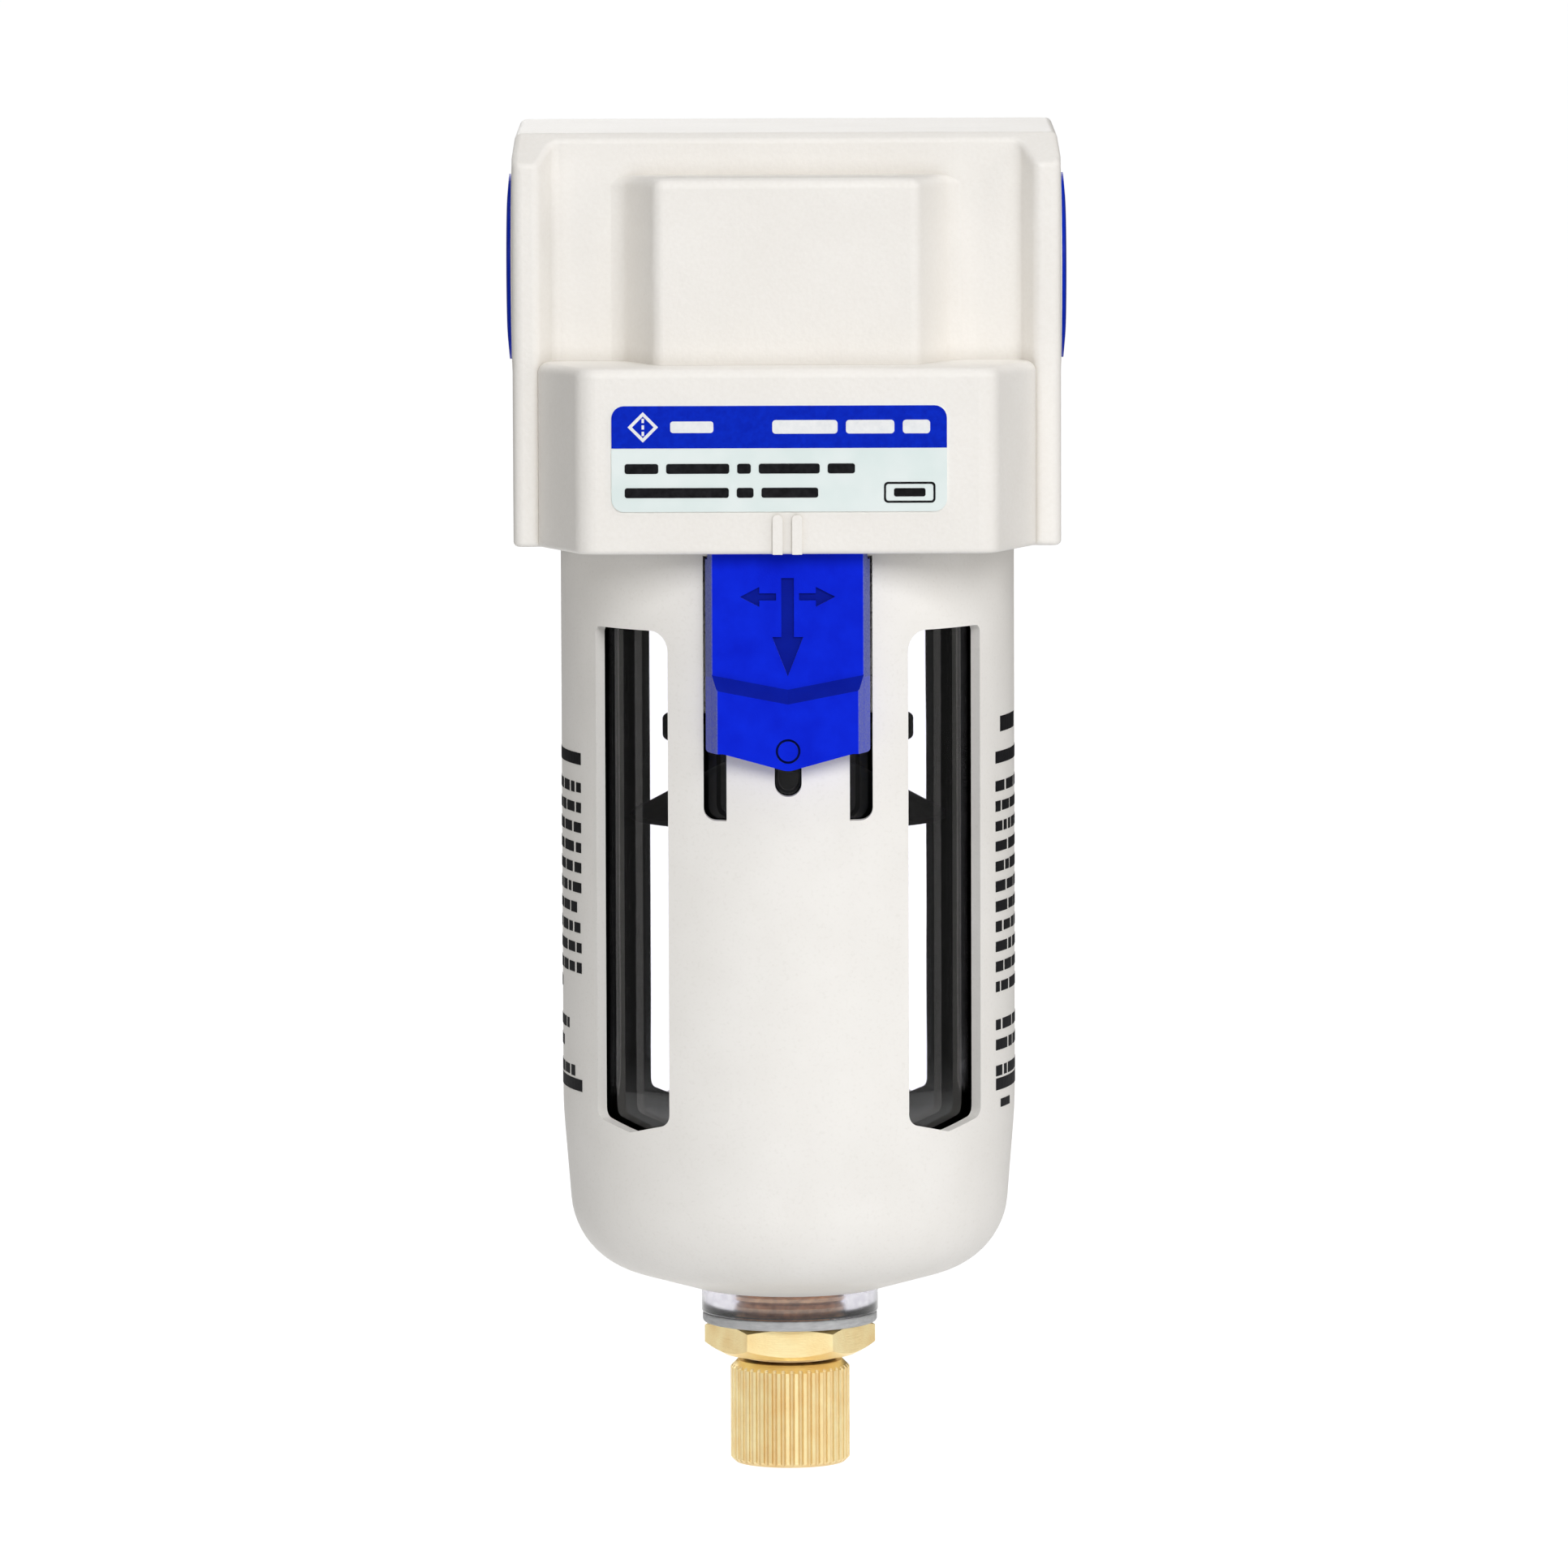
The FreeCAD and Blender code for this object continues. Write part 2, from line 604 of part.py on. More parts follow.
def bowl():
    outer_corner_z = sloped(BOWL_CORNER_R, BOWL_BOSS_R, BOWL_BOSS_TOP)
    inner_corner_z = sloped(BOWL_INNER_CORNER_R, BOWL_SEAT_EDGE_R, BOWL_FLOOR)
    groove_top = O_RING_Z + O_RING_GROOVE_HALF
    groove_bottom = O_RING_Z - O_RING_GROOVE_HALF
    ring_seat = BOWL_FLOOR - 2 * DRAIN_RING_SECTION_R
    return turned([
        (BOWL_INNER_R, BOWL_TOP, 0.4), (BOWL_NECK_R, BOWL_TOP, 0.4), (BOWL_NECK_R, groove_top, 0),
        (O_RING_GROOVE_R, groove_top, 0), (O_RING_GROOVE_R, groove_bottom, 0),
        (BOWL_NECK_R, groove_bottom, 0), (BOWL_NECK_R, BOWL_FLANGE_TOP, 0),
        (BOWL_FLANGE_R, BOWL_FLANGE_TOP, 0.3), (BOWL_FLANGE_R, GUARD_TOP, 0), (BOWL_R, GUARD_TOP, 0),
        (BOWL_R, BOWL_TAPER_TOP, TAPER_ROUND), (BOWL_CORNER_R, outer_corner_z, BOWL_CORNER_ROUND),
        (BOWL_BOSS_R, BOWL_BOSS_TOP, 0.5), (BOWL_BOSS_R, WASHER_TOP, 0.2), (BOSS_HOLE_R, WASHER_TOP, 0),
        (BOSS_HOLE_R, ring_seat, 0), (DRAIN_RING_GROOVE_R, ring_seat, 0),
        (DRAIN_RING_GROOVE_R, BOWL_FLOOR, 0), (BOWL_SEAT_EDGE_R, BOWL_FLOOR, 0),
        (BOWL_INNER_CORNER_R, inner_corner_z, BOWL_INNER_CORNER_ROUND),
        (BOWL_INNER_R, BOWL_TAPER_TOP, TAPER_ROUND),
    ])


def bowl_o_ring():
    return Part.makeTorus(O_RING_CENTRE_R, O_RING_SECTION_R, Z_AXIS * O_RING_Z, Z_AXIS)


def slot_space(angle, half):
    """One sight slot, cut through the guard at an angle from its front. Its foot is a shallow V."""
    corners = [(-half, SLOT_TOP, 2.0), (-half, SLOT_BOTTOM, 1.2), (0, SLOT_POINT, 0.4),
               (half, SLOT_BOTTOM, 1.0), (half, SLOT_TOP, 0.7)]
    space = through_y(corners, -GUARD_R - 2, -GUARD_R + 8)
    space.rotate(ORIGIN, Z_AXIS, angle)
    return space


def window_space():
    """The lock button's window, less the tongue that stands in it, with the tongue's two slots."""
    front = -GUARD_R - 2
    back = -GUARD_R + 6
    window = through_y([(-WINDOW_X, WINDOW_TOP, 0), (-WINDOW_X, WINDOW_BOTTOM, 1.2),
                        (WINDOW_X, WINDOW_BOTTOM, 1.2), (WINDOW_X, WINDOW_TOP, 0)], front, back)
    tongue = box(-TONGUE_X, TONGUE_X, front - 1, back + 1, WINDOW_BOTTOM - 1, TONGUE_TOP)
    slot = through_y([(-TONGUE_SLOT_X, TONGUE_SLOT_TOP, 0),
                      (-TONGUE_SLOT_X, TONGUE_SLOT_BOTTOM, TONGUE_SLOT_X * 0.98),
                      (TONGUE_SLOT_X, TONGUE_SLOT_BOTTOM, TONGUE_SLOT_X * 0.98),
                      (TONGUE_SLOT_X, TONGUE_SLOT_TOP, 0)], front, back)
    pocket = box(-POCKET_X, POCKET_X, front, back, POCKET_BOTTOM, TONGUE_TOP + 1)
    return window.cut(tongue).fuse([slot, pocket])


def guard_shell():
    slope_rise = BOTTOM_SLOPE * (GUARD_CORNER_R - GUARD_HOLE_R)
    hole_z = GUARD_CORNER_Z - slope_rise
    inner_hole_z = hole_z + GUARD_WALL * 1.04
    inner_corner_r = GUARD_CORNER_R - GUARD_WALL * 1.02
    inner_corner_z = sloped(inner_corner_r, GUARD_HOLE_R, inner_hole_z)
    return turned([
        (GUARD_R - GUARD_WALL, GUARD_TOP, 0), (GUARD_R, GUARD_TOP, 0.3),
        (GUARD_R, GUARD_TAPER_TOP, TAPER_ROUND),
        (GUARD_CORNER_R, GUARD_CORNER_Z, GUARD_CORNER_ROUND), (GUARD_HOLE_R, hole_z, 0.3),
        (GUARD_HOLE_R, inner_hole_z, 0.3), (inner_corner_r, inner_corner_z, GUARD_CORNER_ROUND - GUARD_WALL),
        (GUARD_R - GUARD_WALL, GUARD_TAPER_TOP, TAPER_ROUND),
    ])


def bowl_guard():
    front_slot = slot_space(SLOT_ANGLE, SLOT_HALF_WIDTH)
    back_slot = mirrored_y(slot_space(BACK_SLOT_ANGLE, BACK_SLOT_HALF_WIDTH))
    slots = [front_slot, mirrored_x(front_slot), back_slot, mirrored_x(back_slot)]
    lugs = []
    for index in range(LUG_COUNT):
        middle = 360.0 / LUG_COUNT * (index + 0.5)
        lugs.append(sector(LUG_INNER_R, LUG_R, LUG_BOTTOM, LUG_TOP, middle, LUG_HALF_ANGLE))
    return guard_shell().fuse(lugs).cut(slots + [window_space()])


# ---------------------------------------------------------------- lock button

def chevron_cut():
    """The space above the thumb step: its slope falls forward and rises to both sides."""
    y0 = -BUTTON_UPPER_Y + 1.0
    y1 = -BUTTON_LOWER_Y - 1.0
    z0 = CHEVRON_Z + CHEVRON_SLOPE * (y0 + BUTTON_UPPER_Y)
    z1 = CHEVRON_Z + CHEVRON_SLOPE * (y1 + BUTTON_UPPER_Y)
    corners = [(y0, z0, 0), (y1, z1, 0), (y1, TOP, 0), (y0, TOP, 0)]
    half = prism(corners, in_side_view, ORIGIN, FreeCAD.Vector(10, 0, 10 * CHEVRON_RISE))
    return half.fuse(mirrored_x(half))


def button_outline():
    """The button's front outline: straight sides and a blunt point below."""
    tip_r = RING_Z - BUTTON_POINT - 0.08
    corners = [(-BUTTON_X, BUTTON_TOP, 0), (-BUTTON_X, BUTTON_SIDE_BOTTOM, 0.3),
               (-BUTTON_LOWER_X + 0.6, BUTTON_SIDE_BOTTOM, 0), (0, BUTTON_POINT, tip_r),
               (BUTTON_LOWER_X - 0.6, BUTTON_SIDE_BOTTOM, 0), (BUTTON_X, BUTTON_SIDE_BOTTOM, 0.3),
               (BUTTON_X, BUTTON_TOP, 0)]
    return through_y(corners, -BUTTON_LOWER_Y - 1, -BUTTON_BACK_Y + 1)


def arrow(length, head_length, shaft_half, head_half):
    """An arrow's recess, its tail at the origin and its tip towards +X."""
    neck = length - head_length
    corners = [(0, -shaft_half, 0), (neck, -shaft_half, 0), (neck, -head_half, 0), (length, 0, 0),
               (neck, head_half, 0), (neck, shaft_half, 0), (0, shaft_half, 0)]
    return through_y(corners, -BUTTON_UPPER_Y - 1, -BUTTON_UPPER_Y + MARK_DEPTH)


def button_marks():
    """Recessed arrows: pull down, then turn either way. A ring marks the thumb point."""
    down = arrow(
        DOWN_ARROW_TOP - DOWN_ARROW_TIP, DOWN_ARROW_HEAD, DOWN_ARROW_SHAFT_HALF, DOWN_ARROW_HEAD_HALF
    )
    down.rotate(ORIGIN, Y_AXIS, 90)
    down.translate(Z_AXIS * DOWN_ARROW_TOP)
    right = arrow(
        SIDE_ARROW_TIP - SIDE_ARROW_X, SIDE_ARROW_HEAD, SIDE_ARROW_SHAFT_HALF, SIDE_ARROW_HEAD_HALF
    )
    right.translate(FreeCAD.Vector(SIDE_ARROW_X, 0, SIDE_ARROW_Z))
    start = FreeCAD.Vector(0, -BUTTON_LOWER_Y - 1, RING_Z)
    outer = Part.makeCylinder(RING_R, 1 + MARK_DEPTH, start, Y_AXIS)
    inner = Part.makeCylinder(RING_R - RING_LINE, 1 + MARK_DEPTH, start, Y_AXIS)
    return [down, right, mirrored_x(right), outer.cut(inner)]


def lock_button():
    upper = upright([(-BUTTON_X, -BUTTON_BACK_Y, 0), (-BUTTON_X, -BUTTON_BASE_Y, 0),
                     (-BUTTON_UPPER_X, -BUTTON_UPPER_Y, 0.25), (BUTTON_UPPER_X, -BUTTON_UPPER_Y, 0.25),
                     (BUTTON_X, -BUTTON_BASE_Y, 0), (BUTTON_X, -BUTTON_BACK_Y, 0)],
                    BUTTON_POINT - 1, BUTTON_TOP)
    join_y = -BUTTON_UPPER_Y + 0.5
    lower = upright([(-BUTTON_UPPER_X - 0.1, join_y, 0), (-BUTTON_UPPER_X, -BUTTON_UPPER_Y, 0),
                     (-BUTTON_LOWER_X, -BUTTON_LOWER_Y, 0.3), (BUTTON_LOWER_X, -BUTTON_LOWER_Y, 0.3),
                     (BUTTON_UPPER_X, -BUTTON_UPPER_Y, 0), (BUTTON_UPPER_X + 0.1, join_y, 0)],
                    BUTTON_POINT - 1, BUTTON_TOP)
    hollow = box(-BUTTON_HOLLOW_X, BUTTON_HOLLOW_X, -BUTTON_PLATE_BACK_Y, 0, 0, TOP)
    under_window_top = box(-BUTTON_X - 1, BUTTON_X + 1, -GUARD_R - 0.15, 0, BUTTON_BACK_TOP, TOP)
    plate = upper.fuse(lower.cut(chevron_cut())).common(button_outline()).cut([hollow, under_window_top])
    rib_front = -BUTTON_PLATE_BACK_Y - 0.2
    spring_rib = box(-SPRING_RIB_X, SPRING_RIB_X, rib_front, -SPRING_RIB_BACK_Y, SPRING_TOP, BUTTON_BACK_TOP)
    guide_rib = box(-GUIDE_RIB_X, GUIDE_RIB_X, rib_front, -GUIDE_RIB_BACK_Y, GUIDE_RIB_BOTTOM, GUIDE_RIB_TOP)
    tooth = box(-TOOTH_X, TOOTH_X, -TOOTH_Y1, -TOOTH_Y0, BUTTON_TOP - 0.5, TOOTH_TOP)
    return plate.fuse([spring_rib, guide_rib, tooth]).cut(button_marks()).removeSplitter()


def lock_spring():
    """A round-wire coil between the tongue's pocket and the button's rib."""
    radius = SPRING_R - SPRING_WIRE_R
    bottom = POCKET_BOTTOM + SPRING_WIRE_R + 0.02
    height = SPRING_TOP - 0.02 - SPRING_WIRE_R - bottom
    path = Part.makeHelix(height / SPRING_TURNS, height, radius)
    section = Part.Wire(Part.makeCircle(SPRING_WIRE_R, FreeCAD.Vector(radius, 0, 0), Y_AXIS))
    coil = Part.Wire(path.Edges).makePipeShell([section], True, True)
    coil.translate(FreeCAD.Vector(0, -SPRING_Y, bottom))
    return coil


# ---------------------------------------------------------------- drain

def ringed_profile(radius, depth, pitch, bottom, top):
    """Points down a threaded outside, drawn as rings: crest flats with V grooves between."""
    points = []
    count = int((top - bottom) / pitch)
    for index in range(count):
        middle = top - pitch * (index + 0.5)
        points += [(radius, middle + 0.32 * pitch), (radius - depth, middle), (radius, middle - 0.32 * pitch)]
    return points


def drain_body():
    """The brass fitting clamped through the bowl's foot, with the drain's seat at its top."""
    thread_top = BOWL_FLOOR - 2 * DRAIN_RING_SECTION_R - 0.2
    threads = ringed_profile(DRAIN_THREAD_R, DRAIN_THREAD_DEPTH, DRAIN_THREAD_PITCH, NUT_BOTTOM, thread_top)
    points = [(DRAIN_SEAT_HOLE_R, DRAIN_FLANGE_TOP), (DRAIN_FLANGE_R - 0.5, DRAIN_FLANGE_TOP),
              (DRAIN_FLANGE_R, DRAIN_FLANGE_TOP - 0.5), (DRAIN_FLANGE_R, BOWL_FLOOR),
              (DRAIN_THREAD_R, BOWL_FLOOR)] + threads
    points += [(DRAIN_THREAD_R, NUT_BOTTOM), (DRAIN_NECK_R, NUT_BOTTOM), (DRAIN_NECK_R, DRAIN_BOTTOM),
               (DRAIN_BORE_R, DRAIN_BOTTOM), (DRAIN_BORE_R, DRAIN_SEAT_Z), (DRAIN_SEAT_HOLE_R, DRAIN_SEAT_Z)]
    return turned([(r, z, 0) for r, z in points])


def drain_body_o_ring():
    middle = BOWL_FLOOR - DRAIN_RING_SECTION_R
    return Part.makeTorus(DRAIN_RING_R, DRAIN_RING_SECTION_R - 0.01, Z_AXIS * middle, Z_AXIS)


def drain_gasket():
    return turned([(BOSS_HOLE_R, NUT_TOP, 0), (WASHER_R, NUT_TOP, 0.3), (WASHER_R, WASHER_TOP, 0.3),
                   (BOSS_HOLE_R, WASHER_TOP, 0)])


def drain_nut():
    corner_r = NUT_FLATS / math.sqrt(3)
    corners = []
    for index in range(6):
        angle = math.radians(60 * index)
        corners.append((corner_r * math.cos(angle), corner_r * math.sin(angle), 0))
    hexagon = upright(corners, NUT_BOTTOM, NUT_TOP)
    bottom_r = NUT_FLATS / 2 - NUT_BOTTOM_CHAMFER
    top_r = NUT_FLATS / 2 - NUT_TOP_CHAMFER
    chamfers = turned([(0, NUT_BOTTOM, 0), (bottom_r, NUT_BOTTOM, 0), (corner_r, NUT_BOTTOM + 1.0, 0),
                       (corner_r, NUT_TOP - 0.45, 0), (top_r, NUT_TOP, 0), (0, NUT_TOP, 0)])
    return hexagon.common(chamfers).cut(disc(NUT_BORE_R, NUT_BOTTOM - 1, NUT_TOP + 1))


def fluted_rim():
    """The knob's grip: flat crests with round-bottomed flutes between them."""
    step = 2 * math.pi / KNOB_FLUTES
    crest = 0.4 * step
    edges = []

    def at(angle, radius):
        return FreeCAD.Vector(radius * math.cos(angle), radius * math.sin(angle), 0)

    for index in range(KNOB_FLUTES):
        start = step * index
        flute = start + crest
        edges.append(Part.Arc(at(start, KNOB_R), at(start + crest / 2, KNOB_R), at(flute, KNOB_R)).toShape())
        bottom = at((flute + start + step) / 2, KNOB_R - KNOB_FLUTE_DEPTH)
        edges.append(Part.Arc(at(flute, KNOB_R), bottom, at(start + step, KNOB_R)).toShape())
    face = Part.Face(Part.Wire(edges))
    return face.extrude(Z_AXIS * KNOB_TOP)


def drain_knob():
    """The fluted knob and its hollow stem in one piece, open from the outlet to the cross hole."""
    envelope = turned([(0, 0, 0), (KNOB_R - 0.45, 0, 0), (KNOB_R, 0.45, 0), (KNOB_R, KNOB_FLUTE_TOP, 0),
                       (KNOB_R - 0.7, KNOB_TOP, 0), (0, KNOB_TOP, 0)])
    stem = turned([(0, KNOB_TOP - 1, 0), (STEM_R, KNOB_TOP - 1, 0), (STEM_R, STEM_SHOULDER, 0.3),
                   (STEM_NECK_R, STEM_SHOULDER, 0), (STEM_NECK_R, STEM_NECK_TOP, 0),
                   (STEM_TIP_R, STEM_NECK_TOP, 0), (STEM_TIP_R, STEM_TIP_TOP, 0.2), (0, STEM_TIP_TOP, 0)])
    outlet = disc(KNOB_OUTLET_R, -1, KNOB_OUTLET_DEPTH)
    way_up = disc(STEM_HOLE_R, 0, STEM_CROSS_Z + STEM_CROSS_R)
    cross = Part.makeCylinder(STEM_CROSS_R, REACH / 10, FreeCAD.Vector(-REACH / 20, 0, STEM_CROSS_Z), X_AXIS)
    return fluted_rim().common(envelope).fuse(stem).cut([outlet, way_up, cross])


def drain_valve_seal():
    return turned([(SEAL_RECESS_R, SEAL_BOTTOM, 0), (SEAL_R, SEAL_BOTTOM, 0.2), (SEAL_R, SEAL_TOP, 0.3),
                   (0, SEAL_TOP, 0), (0, SEAL_RECESS_TOP, 0), (SEAL_RECESS_R, SEAL_RECESS_TOP, 0)])


def all_parts():
    outlet_plug = port_plug()
    return {
        "body": body(),
        "name_label": name_label(),
        "inlet_port_plug": mirrored_x(outlet_plug),
        "outlet_port_plug": outlet_plug,
        "deflector": deflector(),
        "element_top_gasket": element_top_gasket(),
        "filter_element": filter_element(),
        "element_bottom_gasket": element_bottom_gasket(),
        "element_stud": element_stud(),
        "baffle": baffle(),
        "bowl": bowl(),
        "bowl_o_ring": bowl_o_ring(),
        "bowl_guard": bowl_guard(),
        "lock_button": lock_button(),
        "lock_spring": lock_spring(),
        "drain_body": drain_body(),
        "drain_body_o_ring": drain_body_o_ring(),
        "drain_gasket": drain_gasket(),
        "drain_nut": drain_nut(),
        "drain_valve_seal": drain_valve_seal(),
        "drain_knob": drain_knob(),
    }


os.makedirs("parts", exist_ok=True)
for name, shape in all_parts().items():
    solids = len(shape.Solids)
    print(f"{name}: {solids} solid, valid {shape.isValid()}, {shape.Volume:.1f} mm3")
    shape.exportStep(f"parts/{name}.step")
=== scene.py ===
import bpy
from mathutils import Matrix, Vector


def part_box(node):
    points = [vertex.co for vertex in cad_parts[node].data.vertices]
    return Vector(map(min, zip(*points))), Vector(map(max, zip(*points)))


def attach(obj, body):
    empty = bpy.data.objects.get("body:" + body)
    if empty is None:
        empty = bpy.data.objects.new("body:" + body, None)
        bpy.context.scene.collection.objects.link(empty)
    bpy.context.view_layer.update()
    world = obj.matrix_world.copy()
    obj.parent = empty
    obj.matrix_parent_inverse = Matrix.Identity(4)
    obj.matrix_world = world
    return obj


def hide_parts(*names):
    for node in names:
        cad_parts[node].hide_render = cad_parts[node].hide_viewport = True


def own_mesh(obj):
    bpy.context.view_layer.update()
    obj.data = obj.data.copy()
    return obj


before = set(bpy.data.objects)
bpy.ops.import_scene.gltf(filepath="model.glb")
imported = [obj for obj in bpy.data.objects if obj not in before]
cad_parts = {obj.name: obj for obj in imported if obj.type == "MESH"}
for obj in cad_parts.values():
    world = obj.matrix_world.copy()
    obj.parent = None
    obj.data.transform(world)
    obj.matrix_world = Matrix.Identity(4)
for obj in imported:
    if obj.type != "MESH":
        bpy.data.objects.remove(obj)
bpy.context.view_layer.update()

import math
import random

import bmesh
import bpy
from mathutils import Quaternion, Vector

# Compressed air filter: materials, printed marks, floor, light and camera. Metres; +Z is up,
# the air flows towards +X, and the label and the lock button face -Y.

MM = 0.001
PORT_Z = (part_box("outlet_port_plug")[0].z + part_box("outlet_port_plug")[1].z) / 2 / MM
BODY_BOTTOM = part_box("body")[0].z / MM
LABEL_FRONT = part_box("name_label")[0].y

# The few sizes of the frame that its boxes don't give, in millimetres
GUARD_R = 22.0
GUARD_INNER_R = 20.8
GUARD_BOTTOM_INSIDE_Z = 34.0
PORT_MOUTH_R = 9.15
PORT_FACE_X = 26.4
SOCKET_R = 23.9
SOCKET_TOP = 106.45
KNOB_R = 5.8
KNOB_FLUTE_DEPTH = 0.28
KNOB_FLUTE_TOP = 9.3
DRAIN_THREAD_R = 5.3
DRAIN_THREAD_DEPTH = 0.45

# Turning lines and grain on the turned parts have their true size at this radius
TURNED_R = 6.0

# The bowl is the clear boss below BOWL_FOOT_Z, and the brass above BRASS_THREAD_Z is the thread in it
BOWL_FOOT_Z = 22.0
BRASS_THREAD_Z = 13.9

# The lock button's faces and marks
BUTTON_UPPER_Y = 23.2
BUTTON_LOWER_Y = 24.4
MARK_DEPTH = 0.3
ARROW_ZONE_Z = 79.0
RING_Z = 72.0
RING_REACH = 1.3

# The lock button's spring: its wire, its turns, and how finely it is drawn
SPRING_WIRE_R = 0.16
SPRING_TURNS = 9
SPRING_CLOSED_PITCH = 0.335
SPRING_STEPS = 24
SPRING_SIDES = 10

# The floor's brightness: as the camera sees it, as seen through the clear bowl, in reflections, and as
# the light that reaches matt surfaces from straight ahead and from the sides
FLOOR_SEEN = 1.0
FLOOR_BEHIND = 1.35
FLOOR_GLOSS = 1.0
FLOOR_GLOW = 0.62
FLOOR_SIDE_GLOW = 0.05

# The floor's radius, and how far from its middle it starts to dim, in metres: to the sides for matt
# surfaces, and all round for reflections. It has dimmed fully at twice that.
FLOOR_R = 9.0
FLOOR_BAND = 0.24
FLOOR_NEAR = 0.175

# The walls' brightness: as the camera sees them, and as light
SKY_SEEN = 0.95
SKY_GLOW = 0.06

# What the lights aim at, and where the camera stands and looks, in metres
LIGHT_AIM = (0.0, 0.0, 0.07)
CAMERA_PLACE = (-0.0004, -1.2808, 0.1971)
CAMERA_AIM = (-0.0004, 0.0, 0.0664)

# The camera's focal length in millimetres, and its turn about its own axis in degrees
CAMERA_LENS = 303.9
CAMERA_LEAN = -0.197

# The label's print, in millimetres. Words are bars, as wide as the numbers in a line's WORDS say, and
# their corners are rounded by a share of their height.
INK = 0.03
WORD_ROUNDING = 0.25
HEADER_SHARE = 0.4
LABEL_CORNER = 1.2
SYMBOL_X = 3.0
SYMBOL_REACH = 1.45
SYMBOL_LINE = 0.42
DASH_PITCH = 0.62
DASH_HALF_WIDTH = 0.12
DASH_HALF_LENGTH = 0.2
HEADER_GAP = 0.8
HEADER_LEFT_X = 5.6
HEADER_LEFT_HEIGHT = 1.1
HEADER_LEFT_WORDS = (4.1,)
HEADER_RIGHT_X = 16.6
HEADER_RIGHT_HEIGHT = 1.3
HEADER_RIGHT_WORDS = (6.2, 4.6, 2.6)
FIELD_X = 1.25
FIELD_TOP = 1.95
FIELD_PITCH = 2.3
FIELD_HEIGHT = 0.95
FIELD_GAP = 0.75
FIRST_WORDS = (3.2, 6.0, 1.3, 5.8, 2.6)
SECOND_WORDS = (9.9, 1.6, 5.4)
BOX_MARGIN = 1.1
BOX_WIDTH = 4.9
BOX_HALF_HEIGHT = 1.0
BOX_LINE = 0.2
BOX_CORNER = 0.4
BOX_INNER_CORNER = 0.25
BOX_WORD_WIDTH = 3.0
BOX_WORD_HEIGHT = 0.8

# The print on the guard's sides: a heading, a rule, rows of words, a rule and a small last word
SIDE_PRINT_HALF_ANGLE = 24.5
SIDE_PRINT_TOP = 69.8
SIDE_PRINT_BOTTOM = 38.0
SIDE_RULE = 1.15
SIDE_INDENT = 1.2
HEADING_END = 7.0
HEADING_RISE = 3.2
HEADING_HEIGHT = 1.5
LAST_END = 4.2
LAST_DROP = 1.9
LAST_HEIGHT = 0.8
ROW_TOP = 67.0
ROW_PITCH = 1.95
ROW_HEIGHT = 1.05
FULL_ROWS = 10
SHORT_ROWS = ((10, 0.6), (11.9, 0.8), (12.9, 0.7), (14.2, 0.9))
WORD_WIDTHS = (0.9, 3.4)
WORD_HEIGHTS = (0.9, 1.0)
WORD_GAPS = (0.35, 0.6)
SHORTEST_LAST_WORD = 0.7
CELL_WIDTH = 0.9

# Points nearer than this are one point, in metres
SAME_POINT = 1e-7


# ---------------------------------------------------------------- materials

